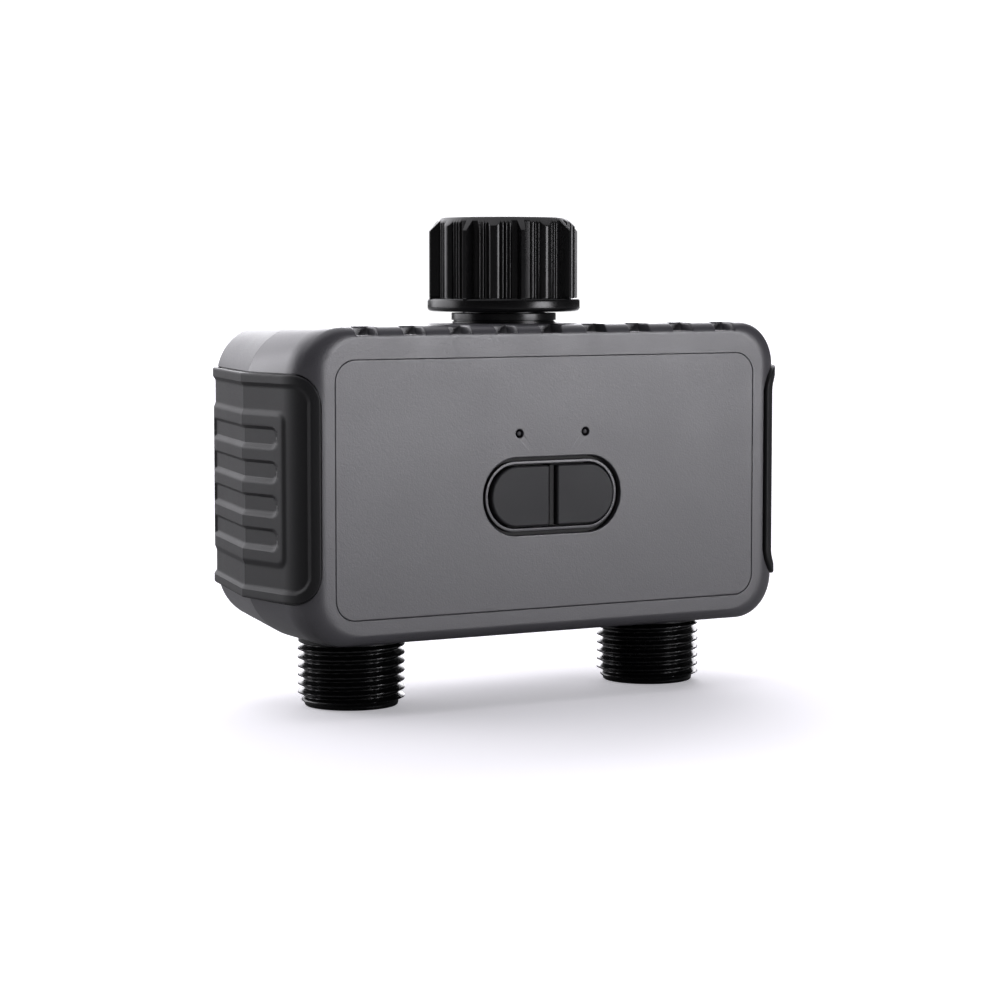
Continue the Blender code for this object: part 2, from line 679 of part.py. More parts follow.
def make_seals():
    for side, sign in SIDES:
        ring = turned(ring_profile(10.5 * MM, 0.5 * MM, 24.0 * MM), 20)
        add_object(f"outlet_seal_{side}", ring, "seal_rubber", (sign * ZONE_X, 0, 0))
    add_object("neck_seal", turned(ring_profile(12.95 * MM, 0.6 * MM, 94.7 * MM), 24), "seal_rubber")
    washer = [(7.4, 107.25), (12.3, 107.25), (12.3, 109.75), (7.4, 109.75)]
    add_object("inlet_washer", turned_mm(washer, 24), "seal_rubber")


def make_inlet_filter():
    """A cup-shaped screen that hangs in the neck by its flange."""
    profile = [(0, 96.5), (4.5, 96.5), (7.2, 105.8), (7.2, 106.3), (9.8, 106.3), (9.8, 106.95),
               (6.6, 106.95), (4.0, 97.1), (0, 97.1)]
    add_object("inlet_filter", turned_mm(profile, 20), "filter_mesh")


def nut_radii():
    """(angle, radius) points round the nut: tall narrow ribs with a broad lobe between them."""
    sector = ((-2.6, NUT_RIB_R), (2.6, NUT_RIB_R), (4.6, NUT_BASE_R), (16.4, NUT_BASE_R),
              (18.6, NUT_LOBE_R), (26.4, NUT_LOBE_R), (28.6, NUT_BASE_R), (40.4, NUT_BASE_R))
    points = []
    for rib in range(NUT_RIBS):
        start = NUT_RIB_PHASE + 360 * rib / NUT_RIBS
        points += [(math.radians(start + degrees), radius) for degrees, radius in sector]
    return points


def make_inlet_nut():
    """Ribbed swivel nut. Its lower lip runs under the lip of the neck."""
    around = nut_radii()
    loops = []

    def add_loop(radii, heights):
        points = zip(around, radii, heights)
        loops.append([(r * math.cos(angle), r * math.sin(angle), z) for (angle, _), r, z in points])

    def add_round(radius, height):
        add_loop([radius] * len(around), [height] * len(around))

    edge = 0.6 * MM
    ribbed = [radius for _, radius in around]
    chamfered = [NUT_TOP_Z - (radius - NUT_TOP_R) for radius in ribbed]
    add_round(NUT_FLANGE_R - edge, NUT_BOTTOM_Z)
    add_round(NUT_FLANGE_R, NUT_BOTTOM_Z + edge)
    add_round(NUT_FLANGE_R, NUT_FLANGE_TOP_Z)
    add_loop(ribbed, [NUT_FLANGE_TOP_Z] * len(around))
    add_loop(ribbed, chamfered)
    add_round(NUT_TOP_R, NUT_TOP_Z)
    inside = ((12.9, 122.7), (12.6, 110.7), (13.5, 110.7), (13.5, 103.7), (10.95, 103.7), (10.95, 98.7))
    for radius, z in inside:
        add_round(radius * MM, z * MM)
    add_object("inlet_nut", loft(loops, closed=True), "black_plastic")


# Valves, one per zone

def make_valve_discs():
    """Rigid centre of the diaphragm, which closes on the seat."""
    profile = [(0, 41.35), (7.6, 41.35), (8.0, 42.0), (8.0, 43.6), (5.0, 44.3), (0, 44.3)]
    for side, sign in SIDES:
        disc = turned_mm(profile, 20)
        add_object(f"valve_disc_{side}", disc, "white_plastic", (sign * ZONE_X, 0, 0))


def make_diaphragms():
    """Rubber ring clamped at its rim, sloping down to the disc."""
    profile = [(13.7, 46.3), (13.7, 47.2), (10.6, 47.2), (8.35, 43.9), (8.35, 42.9), (10.9, 46.3)]
    for side, sign in SIDES:
        diaphragm = turned_mm(profile, 20)
        add_object(f"diaphragm_{side}", diaphragm, "seal_rubber", (sign * ZONE_X, 0, 0))


def make_bonnets():
    """Cover of the valve, with the core tube in which the plunger runs."""
    profile = [(13.8, 47.5), (13.8, 50.5), (11.5, 53.0), (5.1, 53.0), (5.1, 81.0), (0, 81.0),
               (0, 79.8), (4.3, 79.8), (4.3, 53.3), (0.8, 53.3), (0.8, 50.6), (9.0, 50.6), (10.4, 47.5)]
    for side, sign in SIDES:
        bonnet = turned_mm(profile, 18)
        add_object(f"valve_bonnet_{side}", bonnet, "white_plastic", (sign * ZONE_X, 0, 0))


def make_solenoids():
    """Coil on the core tube, plunger inside it and a bent strap round both."""
    coil = [(5.4, 54.4), (10.4, 54.4), (10.4, 55.4), (9.6, 55.4), (9.6, 77.2), (10.4, 77.2),
            (10.4, 78.2), (5.4, 78.2)]
    plunger = [(0, 53.65), (1.6, 53.65), (4.0, 54.6), (4.0, 72.6), (3.4, 73.2), (0, 73.2)]
    strap = [(-11.7, 53.3), (8.0, 53.3), (8.0, 54.1), (-10.9, 54.1), (-10.9, 78.5), (8.0, 78.5),
             (8.0, 79.3), (-11.7, 79.3)]
    half_strap = 7.5 * MM
    for side, sign in SIDES:
        place = (sign * ZONE_X, 0, 0)
        add_object(f"solenoid_coil_{side}", turned_mm(coil, 16), "winding_tape", place)
        add_object(f"plunger_{side}", turned_mm(plunger, 16), "steel", place)
        loops = [[(x, y * MM, z * MM) for y, z in strap] for x in (-half_strap, half_strap)]
        yoke = add_object(f"solenoid_yoke_{side}", loft(loops), "steel", place)
        hole = rod(5.4 * MM, (sign * ZONE_X, 0, 50 * MM), (sign * ZONE_X, 0, 84 * MM), 20)
        cut(yoke, add_object(f"yoke_hole_{side}", hole, None))


def make_plunger_springs():
    """Compression springs above the plungers."""
    mean_r = 2.6 * MM
    wire_r = 0.35 * MM
    low = 73.9 * MM
    high = 79.1 * MM
    turns = 4
    per_turn = 10
    sides = 5
    count = turns * per_turn
    up = Vector((0, 0, 1))
    for side, sign in SIDES:
        loops = []
        for step in range(count + 1):
            angle = 2 * math.pi * step / per_turn
            outward = Vector((math.cos(angle), math.sin(angle), 0))
            centre = outward * mean_r + up * (low + (high - low) * step / count)
            loop = []
            for corner in range(sides):
                turn = 2 * math.pi * corner / sides
                loop.append(centre + outward * wire_r * math.cos(turn) + up * wire_r * math.sin(turn))
            loops.append(loop)
        add_object(f"plunger_spring_{side}", loft(loops), "steel", (sign * ZONE_X, 0, 0))


# Electronics

def make_electronics():
    """Board with two switches behind the keys, two lamps and a screened radio module."""
    board = box((-28 * MM, BOARD_FRONT_Y, 40 * MM), (28 * MM, BOARD_BACK_Y, 80 * MM))
    add_object("circuit_board", board, "board_green")
    front = BOARD_FRONT_Y - GAP
    half = 3 * MM
    for side, sign in SIDES:
        x = sign * SWITCH_X
        switch = box((x - half, front - 2.9 * MM, KEYS_Z - half), (x + half, front, KEYS_Z + half), 0.4 * MM)
        add_object(f"tact_switch_{side}", switch, "steel")
        x = sign * LAMP_X
        lamp = rod(1.5 * MM, (x, front, LAMP_Z), (x, front - 2.8 * MM, LAMP_Z), 12)
        add_object(f"indicator_led_{side}", lamp, "lens_clear")
    module = box((-7 * MM, front - 2.4 * MM, 71 * MM), (7 * MM, front, 79 * MM), 0.3 * MM)
    add_object("radio_module", module, "steel")


def wire(name, points, radius=0.8 * MM):
    """A round wire along a smooth curve through the points."""
    steps = 3
    smooth = []
    padded = [points[0]] + points + [points[-1]]
    for index in range(1, len(padded) - 2):
        before, start, end, after = [Vector(point) for point in padded[index - 1:index + 3]]
        for step in range(steps):
            t = step / steps
            linear = (end - before) * t
            square = (2 * before - 5 * start + 4 * end - after) * t ** 2
            cube = (3 * start - before - 3 * end + after) * t ** 3
            smooth.append(0.5 * (2 * start + linear + square + cube))
    smooth.append(Vector(points[-1]))
    curve = bpy.data.curves.new(name, "CURVE")
    curve.dimensions = "3D"
    curve.bevel_depth = radius
    curve.bevel_resolution = 1
    curve.use_fill_caps = True
    spline = curve.splines.new("POLY")
    spline.points.add(len(smooth) - 1)
    for point, place in zip(spline.points, smooth):
        point.co = (*place, 1.0)
    piece = bpy.data.objects.new(name, curve)
    bpy.context.scene.collection.objects.link(piece)
    curve.materials.append(finish_material("wire_red"))


def make_wires():
    for side, sign in SIDES:
        route = [(33.9, 0, 70), (32.6, -3, 71.5), (31.2, -8, 73), (30.2, -12, 73), (29.2, -15.2, 72)]
        wire(f"solenoid_lead_{side}", [(sign * x * MM, y * MM, z * MM) for x, y, z in route])
    route = [(20, 17.6, 50), (20, 12, 50), (19.6, 4, 51.5), (18.4, -5, 54.5), (18, -10, 56), (18, -13.6, 56)]
    wire("battery_lead", [(x * MM, y * MM, z * MM) for x, y, z in route])


# Batteries

def make_battery_tray():
    outer = box((-TRAY_X, TRAY_Y[0], TRAY_Z[0]), (TRAY_X, TRAY_Y[1], TRAY_Z[1]), 0.5 * MM)
    tray = add_object("battery_tray", outer, "black_plastic")
    inner = box((-TRAY_X + TRAY_WALL, TRAY_Y[0] + TRAY_WALL, TRAY_Z[0] + TRAY_WALL),
                (TRAY_X - TRAY_WALL, TRAY_Y[1] + 2 * MM, TRAY_Z[1] - TRAY_WALL))
    cut(tray, add_object("tray_bay", inner, None))


def make_battery_cells():
    """Four AA cells side by side, with every other one upside down."""
    nub = 1.0 * MM
    nub_r = 2.75 * MM
    end_r = 6.6 * MM
    edge = 0.5 * MM
    profile = [(0, 0), (end_r, 0), (CELL_R, edge), (CELL_R, CELL_LENGTH - edge), (end_r, CELL_LENGTH),
               (nub_r, CELL_LENGTH), (nub_r, CELL_LENGTH + nub), (0, CELL_LENGTH + nub)]
    upside_down = [(radius, CELL_LENGTH + nub - height) for radius, height in profile]
    for number in range(4):
        cell = turned(upside_down if number % 2 else profile, 16)
        place = ((number - 1.5) * CELL_PITCH, CELL_Y, CELL_BOTTOM_Z)
        add_object(f"battery_cell_{number + 1}", cell, "cell_jacket", place)


def make_battery_contacts():
    """Spring plates: two links above the cells, one link and two end terminals below."""
    half_y = 4.5 * MM
    bottom = (TRAY_Z[0] + TRAY_WALL + GAP, CELL_BOTTOM_Z - GAP)
    top = (CELL_BOTTOM_Z + CELL_LENGTH + 1.0 * MM + GAP, TRAY_Z[1] - TRAY_WALL - GAP)
    single = 4.5 * MM
    double = CELL_PITCH / 2 + 5 * MM
    plates = (("battery_link_top_left", -CELL_PITCH, double, top),
              ("battery_link_top_right", CELL_PITCH, double, top),
              ("battery_link_bottom", 0, double, bottom),
              ("battery_terminal_left", -1.5 * CELL_PITCH, single, bottom),
              ("battery_terminal_right", 1.5 * CELL_PITCH, single, bottom))
    for name, x, half_x, (low, high) in plates:
        bm = box((x - half_x, CELL_Y - half_y, low), (x + half_x, CELL_Y + half_y, high), 0.15 * MM)
        add_object(name, bm, "steel")


def screw(name, place, length, head_r, shank_r, head_height):
    """A pan-head screw that points to -Y, with a socket in its head."""
    socket_r = 1.1 * MM
    socket_floor = head_height - 1.0 * MM
    profile = [(0, -length), (shank_r * 0.5, -length), (shank_r, -length + 1 * MM), (shank_r, 0), (head_r, 0),
               (head_r, head_height * 0.6), (head_r * 0.7, head_height), (socket_r, head_height),
               (0.9 * MM, socket_floor), (0, socket_floor)]
    add_object(name, tip_over(turned(profile, 10), (0, 1, 0)), "steel", place)


def make_housing_screws():
    for number, (x, z) in enumerate(HOUSING_SCREWS, 1):
        screw(f"housing_screw_{number}", (x, HEAD_SEAT_Y + GAP, z), HEAD_SEAT_Y + 12 * MM,
              SCREW_HEAD_R, SCREW_R - 0.35 * MM, 2.0 * MM)


def make_battery_door():
    """Flat cover with two bars inside that keep the cells in place."""
    outline = rounded_rectangle(*DOOR_HALF)
    edge = 0.4 * MM
    outer_y = DOOR_FRONT_Y + DOOR_THICKNESS
    rows = ((outline, DOOR_FRONT_Y), (outline, outer_y - edge), (shrink(outline, edge), outer_y))
    loops = [[(x, y, BODY_MID_Z + z) for x, z in row] for row, y in rows]
    door = add_object("battery_door", loft(loops), "housing_grey")
    bar_front = CELL_Y + CELL_R + 0.5 * MM
    bar_back = DOOR_FRONT_Y + 0.5 * MM
    half_x = 26 * MM
    half_z = 1.5 * MM
    for name, z in (("lower", BODY_MID_Z - 14 * MM), ("upper", BODY_MID_Z + 14 * MM)):
        bar = box((-half_x, bar_front, z - half_z), (half_x, bar_back, z + half_z))
        join(door, add_object(f"door_bar_{name}", bar, None))
    for side, sign in SIDES:
        x = sign * DOOR_SCREW_X
        hole = rod(1.6 * MM, (x, DOOR_FRONT_Y - 1 * MM, BODY_MID_Z), (x, REAR_DEPTH + 2 * MM, BODY_MID_Z), 14)
        cut(door, add_object(f"door_hole_{side}", hole, None))


def rectangular_ring(inner, outer, front, back, centre_z):
    """A band between two outlines, from one distance along Y to another."""
    rows = ((inner, front), (outer, front), (outer, back), (inner, back))
    return loft([[(x, y, centre_z + z) for x, z in outline] for outline, y in rows], closed=True)


def make_door_seal():
    """Rubber ring in the gap between the door and its seat, sunk in the shell round the bay."""
    bay_x = TRAY_X - TRAY_WALL
    inner = rounded_rectangle(bay_x + 0.9 * MM, BAY_HALF_Z + 0.6 * MM, 1.5 * MM, 3)
    outer = rounded_rectangle(bay_x + 1.8 * MM, BAY_HALF_Z + 1.5 * MM, 2.4 * MM, 3)
    groove_floor = DOOR_SEAT_Y - 0.9 * MM
    seal = rectangular_ring(inner, outer, groove_floor + GAP, DOOR_FRONT_Y - GAP, BAY_MID_Z)
    add_object("battery_door_seal", seal, "seal_rubber")
    groove = rectangular_ring(shrink(inner, GAP), shrink(outer, -GAP), groove_floor, REAR_DEPTH, BAY_MID_Z)
    cut(bpy.data.objects["rear_shell"], add_object("seal_groove", groove, None))


def make_door_screws():
    for side, sign in SIDES:
        place = (sign * DOOR_SCREW_X, REAR_DEPTH + DOOR_PROUD + GAP, BODY_MID_Z)
        screw(f"door_screw_{side}", place, 7 * MM, 2.4 * MM, 0.85 * MM, DOOR_SCREW_HEAD)


def set_frame_origin():
    """Move everything so that the origin is midway between the foremost and rearmost points."""
    grip_reach = (FRONT_FILLET[0] + GRIP_PROUD) * math.sin(GRIP_FRONT_ANGLE)
    foremost = -(FRONT_DEPTH - FRONT_FILLET[0]) - grip_reach
    rearmost = REAR_DEPTH + DOOR_PROUD + GAP + DOOR_SCREW_HEAD
    for piece in bpy.data.objects:
        piece.location.y -= (foremost + rearmost) / 2


clear_scene()
make_front_shell()
make_rear_shell()
make_grips()
make_face_panel()
make_keys()
make_button_membrane()
make_led_lenses()
make_manifold()
make_outlets()
make_seals()
make_inlet_filter()
make_inlet_nut()
make_valve_discs()
make_diaphragms()
make_bonnets()
make_solenoids()
make_plunger_springs()
make_electronics()
make_wires()
make_battery_tray()
make_battery_cells()
make_battery_contacts()
make_housing_screws()
make_battery_door()
make_door_seal()
make_door_screws()
set_frame_origin()
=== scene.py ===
import json
import math

import bmesh
import bpy
import numpy as np
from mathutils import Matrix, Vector


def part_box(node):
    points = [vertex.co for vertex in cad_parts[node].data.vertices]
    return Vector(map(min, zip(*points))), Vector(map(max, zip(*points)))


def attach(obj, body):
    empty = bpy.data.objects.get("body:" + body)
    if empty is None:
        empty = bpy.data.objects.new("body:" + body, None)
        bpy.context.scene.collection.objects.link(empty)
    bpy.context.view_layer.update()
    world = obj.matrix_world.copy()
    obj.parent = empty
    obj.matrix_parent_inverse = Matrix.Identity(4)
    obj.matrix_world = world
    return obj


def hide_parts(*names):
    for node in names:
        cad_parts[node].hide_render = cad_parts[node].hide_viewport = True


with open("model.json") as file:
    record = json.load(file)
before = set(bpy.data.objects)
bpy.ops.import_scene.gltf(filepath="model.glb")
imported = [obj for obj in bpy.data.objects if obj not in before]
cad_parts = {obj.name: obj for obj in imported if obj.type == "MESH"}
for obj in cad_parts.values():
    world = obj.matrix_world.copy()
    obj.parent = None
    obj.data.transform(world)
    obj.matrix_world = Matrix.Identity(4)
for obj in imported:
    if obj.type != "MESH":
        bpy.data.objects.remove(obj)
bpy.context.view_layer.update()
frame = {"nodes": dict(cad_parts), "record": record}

MM = 0.001
SIDES = (("left", -1), ("right", 1))

# The parting plane of the housing, from which every length along Y below is measured, in millimetres
PARTING_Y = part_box("front_shell")[1].y + 0.15 * MM
SEAM = 0.04

# Housing sections: half-width, half-height and corner radius, front and rear
BODY_MID_Z = 56.85
PARTING_HALF = (73.8, 38.9, 16.5)
FRONT_HALF = (70.2, 38.9, 10.6)
REAR_HALF = (63.7, 37.7, 12.8)
FRONT_DEPTH = 24.3
REAR_DEPTH = 40.3
FRONT_FILLET = (7.6, 2.9)
REAR_FILLET = (7.0, 5.0)
WALL = 2.4
FACE_WALL = 3.1

# Face
PANEL_HALF = (61.45, 31.75, 5.5)
PANEL_Z = 56.07
PANEL_THICKNESS = 1.3
PANEL_GAP = 0.07
KEYS_Z = 52.8
KEY_OPENING = (18.45, 8.0)
KEY_RING = (19.35, 8.9)
PANEL_OPENING = (20.2, 9.75)
KEY_HALF = (17.95, 7.6)
KEY_SPLIT = 1.15
KEY_CORNER = 0.7
KEY_PROUD = 0.4
KEY_THICKNESS = 2.5
RING_SUNK = 0.6
LAMP_X = 9.7
LAMP_Z = 68.6
LAMP_HOLE_R = 1.3

# Pockets in the top front edge
POCKETS = 9
POCKET_PITCH = 13.14
POCKET_HALF = 3.0
POCKET_FLOOR_Z = 93.6
POCKET_REAR_Y = 18.0
POCKET_CORNER = 0.9
POCKET_RIM = 0.6
DEEPER_THAN_FLOOR = 9.0
COLUMN_END = 56.25

# Grips
GRIP_Z = (28.9, 84.3)
GRIP_PROUD = 1.0
GRIP_SUNK = 0.9
GRIP_FRONT_ANGLE = math.radians(78)
GRIP_REAR_ANGLE = math.radians(55)
GRIP_CORNER = 7.0
GRIP_REAR_CORNER = 3.0
GRIP_EDGE = 0.5
PAD_START = 2.3
PAD_INSET = 9.6
PAD_MID_Z = 56.35
PAD_HALF_Z = 17.8
PAD_SUNK = 0.18
GRIP_GAP = 0.3
RIM_WIDTH = 2.2
CHANNEL_DEPTH = 0.65
SLOTS = 4
SLOT_PITCH = 8.3
SLOT_HALF = 2.8
SLOT_DEPTH = 0.77
SLOT_START = 4.3
UPPER_WALL = 0.8
LOWER_WALL = 1.25
REAR_WALL = 0.5

# Plumbing
ZONE_X = 44.67
BORE_R = 8.6
CREST_R = 13.5
ROOT_R = 11.85
THREAD_PITCH = 2.2
NECK_R = 13.45
PIPE_Y = -4.0
GALLERY_Z = 36.0
NUT_TOP_Z = 122.7

# Battery door
DOOR_HALF = (38.5, 29.5, 5.0)
DOOR_THICKNESS = 1.5
DOOR_PROUD = 0.4
DOOR_GAP = 0.3
DOOR_SCREW_X = 35.2
BAY_HALF = (29.7, 26.75)
BAY_Z = 56.55
HOUSING_SCREWS = ((-50, 85.5), (50, 85.5), (-24, 23.9), (24, 23.9))


# Materials

# Share of the noise over which colour and roughness change
MOTTLE_RANGE = (0.3, 0.7)
# Sockets of a Mix node that mixes colours
MIX_COLOUR_A, MIX_COLOUR_B, MIX_COLOUR_OUT = 6, 7, 2


def add_node(tree, kind, inputs=None, **settings):
    """A new node with its settings made and its inputs filled in."""
    node = tree.nodes.new("ShaderNode" + kind)
    for name, value in settings.items():
        setattr(node, name, value)
    for name, value in (inputs or {}).items():
        node.inputs[name].default_value = value
    return node


def node_material(name, colour, roughness, metallic=0.0, specular=0.5, coat=0.0, mottle=0.05, grain=2400.0,
                  bump=0.1, bump_depth=0.00002, rough_spread=0.06, stretch=(1, 1, 1)):
    """A procedural finish: colour mottling at two scales, uneven gloss and a fine moulded grain."""
    material = bpy.data.materials.new(name)
    material.use_nodes = True
    tree = material.node_tree
    link = tree.links.new
    shader = tree.nodes["Principled BSDF"]
    shader.inputs["Metallic"].default_value = metallic
    shader.inputs["Specular IOR Level"].default_value = specular
    shader.inputs["Coat Weight"].default_value = coat
    shader.inputs["Coat Roughness"].default_value = 0.12
    coordinates = add_node(tree, "TexCoord")
    mapping = add_node(tree, "Mapping", {"Scale": stretch})
    link(coordinates.outputs["Object"], mapping.inputs["Vector"])
    fine = add_node(tree, "TexNoise", {"Scale": grain, "Detail": 3.0})
    broad = add_node(tree, "TexNoise", {"Scale": grain / 40, "Detail": 4.0})
    both = add_node(tree, "Mix", {"Factor": 0.4}, data_type="FLOAT")
    for noise, socket in ((fine, "A"), (broad, "B")):
        link(mapping.outputs["Vector"], noise.inputs["Vector"])
        link(noise.outputs["Fac"], both.inputs[socket])
    ramp = add_node(tree, "ValToRGB")
    low, high = ramp.color_ramp.elements
    low.position = MOTTLE_RANGE[0]
    high.position = MOTTLE_RANGE[1]
    low.color = tuple(c * (1 - mottle) for c in colour) + (1.0,)
    high.color = tuple(c * (1 + mottle) for c in colour) + (1.0,)
    link(both.outputs["Result"], ramp.inputs["Fac"])
    link(ramp.outputs["Color"], shader.inputs["Base Color"])
    spread = add_node(tree, "MapRange", {
        "From Min": MOTTLE_RANGE[0], "From Max": MOTTLE_RANGE[1],
        "To Min": max(roughness - rough_spread, 0.02), "To Max": roughness + rough_spread})
    link(both.outputs["Result"], spread.inputs["Value"])
    link(spread.outputs["Result"], shader.inputs["Roughness"])
    relief = add_node(tree, "Bump", {"Strength": bump, "Distance": bump_depth})
    link(fine.outputs["Fac"], relief.inputs["Height"])
    link(relief.outputs["Normal"], shader.inputs["Normal"])
    return material


def banded(material, axis, scale, dark):
    """Add even bands across an axis to a finish, for windings, screens and board tracks."""
    tree = material.node_tree
    link = tree.links.new
    shader = tree.nodes["Principled BSDF"]
    wave = add_node(tree, "TexWave", {"Scale": scale}, bands_direction=axis)
    link(tree.nodes["Texture Coordinate"].outputs["Object"], wave.inputs["Vector"])
    mix = add_node(tree, "Mix", {"Factor": 1.0}, data_type="RGBA", blend_type="MULTIPLY")
    colour_in = next(wire.from_socket for wire in shader.inputs["Base Color"].links)
    link(colour_in, mix.inputs[MIX_COLOUR_A])
    ramp = add_node(tree, "ValToRGB")
    ramp.color_ramp.elements[0].color = (dark, dark, dark, 1)
    link(wave.outputs["Fac"], ramp.inputs["Fac"])
    link(ramp.outputs["Color"], mix.inputs[MIX_COLOUR_B])
    link(mix.outputs[MIX_COLOUR_OUT], shader.inputs["Base Color"])
    return material


FINISH = {
    "housing_grey": node_material(
        "housing_grey_moulded", (0.086, 0.084, 0.094), 0.345, specular=0.85, mottle=0.07, grain=2600,
        bump=0.7, bump_depth=0.00004),
    "key_grey": node_material(
        "key_grey_moulded", (0.029, 0.029, 0.032), 0.42, specular=0.3, mottle=0.05, grain=3200, bump=0.2),
    "grip_rubber": node_material(
        "grip_rubber_moulded", (0.014, 0.014, 0.0155), 0.50, specular=0.4, mottle=0.10, grain=3000,
        bump=0.25),
    "black_plastic": node_material(
        "black_plastic_moulded", (0.0045, 0.0045, 0.005), 0.24, specular=0.45, mottle=0.12, grain=1500,
        bump=0.06, rough_spread=0.04),
    "seal_rubber": node_material(
        "seal_rubber_moulded", (0.022, 0.022, 0.022), 0.62, mottle=0.15, grain=2200, bump=0.3),
    "lens_clear": node_material(
        "lens_smoked", (0.10, 0.10, 0.105), 0.45, specular=0.3, mottle=0.08, grain=1800, bump=0.03),
    "filter_mesh": banded(banded(node_material(
        "filter_screen", (0.55, 0.55, 0.53), 0.5, mottle=0.1, grain=1500,
        bump=0.3), "X", 300, 0.25), "Z", 300, 0.35),
    "white_plastic": node_material(
        "white_plastic_moulded", (0.70, 0.70, 0.67), 0.38, mottle=0.04, grain=1400, bump=0.1),
    "steel": node_material(
        "steel_brushed", (0.56, 0.56, 0.57), 0.28, metallic=1.0, mottle=0.10, grain=1200, bump=0.15,
        rough_spread=0.10, stretch=(1, 1, 0.15)),
    "winding_tape": banded(node_material(
        "winding_taped", (0.46, 0.25, 0.05), 0.40, mottle=0.12, grain=900, bump=0.2), "Z", 160, 0.6),
    "board_green": banded(node_material(
        "board_lacquered", (0.02, 0.15, 0.06), 0.30, coat=0.4, mottle=0.2, grain=700,
        bump=0.1), "X", 110, 0.75),
    "cell_jacket": node_material(
        "cell_jacket_printed", (0.07, 0.16, 0.10), 0.28, coat=0.4, mottle=0.06, grain=1200, bump=0.05),
    "cell_band": node_material(
        "cell_jacket_band", (0.50, 0.28, 0.12), 0.30, metallic=0.6, coat=0.3, mottle=0.06, grain=1200,
        bump=0.05),
    "wire_red": node_material(
        "wire_insulation", (0.45, 0.02, 0.02), 0.42, mottle=0.10, grain=1500, bump=0.1),
}


# Mesh helpers. Points are in millimetres, Y from the parting plane, until place() puts them in the frame.

CAP_RADIUS = 0.02
WELD = 0.0005 * MM


def place(points):
    return np.asarray(points, float) * MM + np.array((0, PARTING_Y, 0))


def build(name, verts, faces, sharp=30.0):
    mesh = bpy.data.meshes.new(name)
    mesh.from_pydata(place(verts).tolist(), [], faces)
    bm = bmesh.new()
    bm.from_mesh(mesh)
    bmesh.ops.remove_doubles(bm, verts=bm.verts, dist=WELD)
    bmesh.ops.dissolve_degenerate(bm, edges=bm.edges, dist=WELD)
    bmesh.ops.recalc_face_normals(bm, faces=bm.faces)
    bm.to_mesh(mesh)
    bm.free()
    mesh.shade_smooth()
    mesh.set_sharp_from_angle(angle=math.radians(sharp))
    piece = bpy.data.objects.new(name, mesh)
    bpy.context.scene.collection.objects.link(piece)
    return piece


def skin(loops, closed=False):
    """Vertices and faces of a skin over loops with equal point counts, capped unless the row is closed."""
    rings = np.array(loops, float)
    count, around = rings.shape[:2]
    index = np.arange(count * around).reshape(count, around)
    first, second = (index, np.roll(index, -1, axis=0)) if closed else (index[:-1], index[1:])
    quads = np.stack([first, np.roll(first, -1, axis=1), np.roll(second, -1, axis=1), second], axis=-1)
    faces = quads.reshape(-1, 4).tolist()
    if not closed:
        faces += [index[0].tolist(), index[-1].tolist()]
    return rings.reshape(-1, 3), faces


def turned(profile, segments, centre, axis="Z"):
    """Loops of (radius, height) points turned round an axis along Z, or along Y to face the rear."""
    loops = []
    for radius, height in profile:
        loop = []
        for angle in np.arange(segments) * 2 * math.pi / segments:
            first = centre[0] + radius * math.cos(angle)
            second = centre[1] + radius * math.sin(angle)
            loop.append((first, second, height) if axis == "Z" else (first, height, second))
        loops.append(loop)
    return loops


def spin(profile, segments=96, centre=(0, 0), sharp=30.0, name="turned"):
    """Turn a closed outline round a vertical axis. None of it lies on the axis."""
    verts, faces = skin(turned(profile, segments, centre), closed=True)
    return build(name, verts, faces, sharp)


def solid_spin(name, profile, segments=64, centre=(0, 0), axis="Z", sharp=30.0):
    """Turn an open outline that starts and ends on the axis, and cap it there with small faces."""
    profile = [(max(radius, CAP_RADIUS), height) for radius, height in profile]
    verts, faces = skin(turned(profile, segments, centre, axis))
    return build(name, verts, faces, sharp)


def settle(piece, sharp=30.0):
    """Make the result of a piece's modifiers its own mesh."""
    graph = bpy.context.evaluated_depsgraph_get()
    mesh = bpy.data.meshes.new_from_object(piece.evaluated_get(graph))
    piece.modifiers.clear()
    piece.data = mesh
    mesh.shade_smooth()
    mesh.set_sharp_from_angle(angle=math.radians(sharp))


def merge(pieces):
    """Join tools that don't touch into one."""
    bm = bmesh.new()
    for piece in pieces:
        bm.from_mesh(piece.data)
        if piece is not pieces[0]:
            bpy.data.objects.remove(piece)
    bm.to_mesh(pieces[0].data)
    bm.free()
    return pieces[0]


def carve(piece, tools, operation="DIFFERENCE", sharp=30.0):
    tool = merge(tools)
    modifier = piece.modifiers.new("carve", "BOOLEAN")
    modifier.operation = operation
    modifier.solver = "MANIFOLD"
    modifier.object = tool
    bpy.context.view_layer.update()
    settle(piece, sharp)
    bpy.data.objects.remove(tool)


def show(piece, finish, body, *nodes):
    """Give a finished piece its material and its body, and let it stand for its CAD nodes."""
    piece.data.materials.clear()
    piece.data.materials.append(FINISH[finish])
    weighted = piece.modifiers.new("normals", "WEIGHTED_NORMAL")
    weighted.keep_sharp = True
    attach(piece, body)
    if nodes:
        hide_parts(*nodes)
    return piece


def rounding(radius, steps=4):
    """(inset, rise) pairs of a quarter round, from the side of a plate to its face."""
    pairs = []
    for step in range(steps + 1):
        angle = math.pi / 2 * step / steps
        pairs.append((radius * (1 - math.cos(angle)), radius * math.sin(angle)))
    return pairs


# Outlines

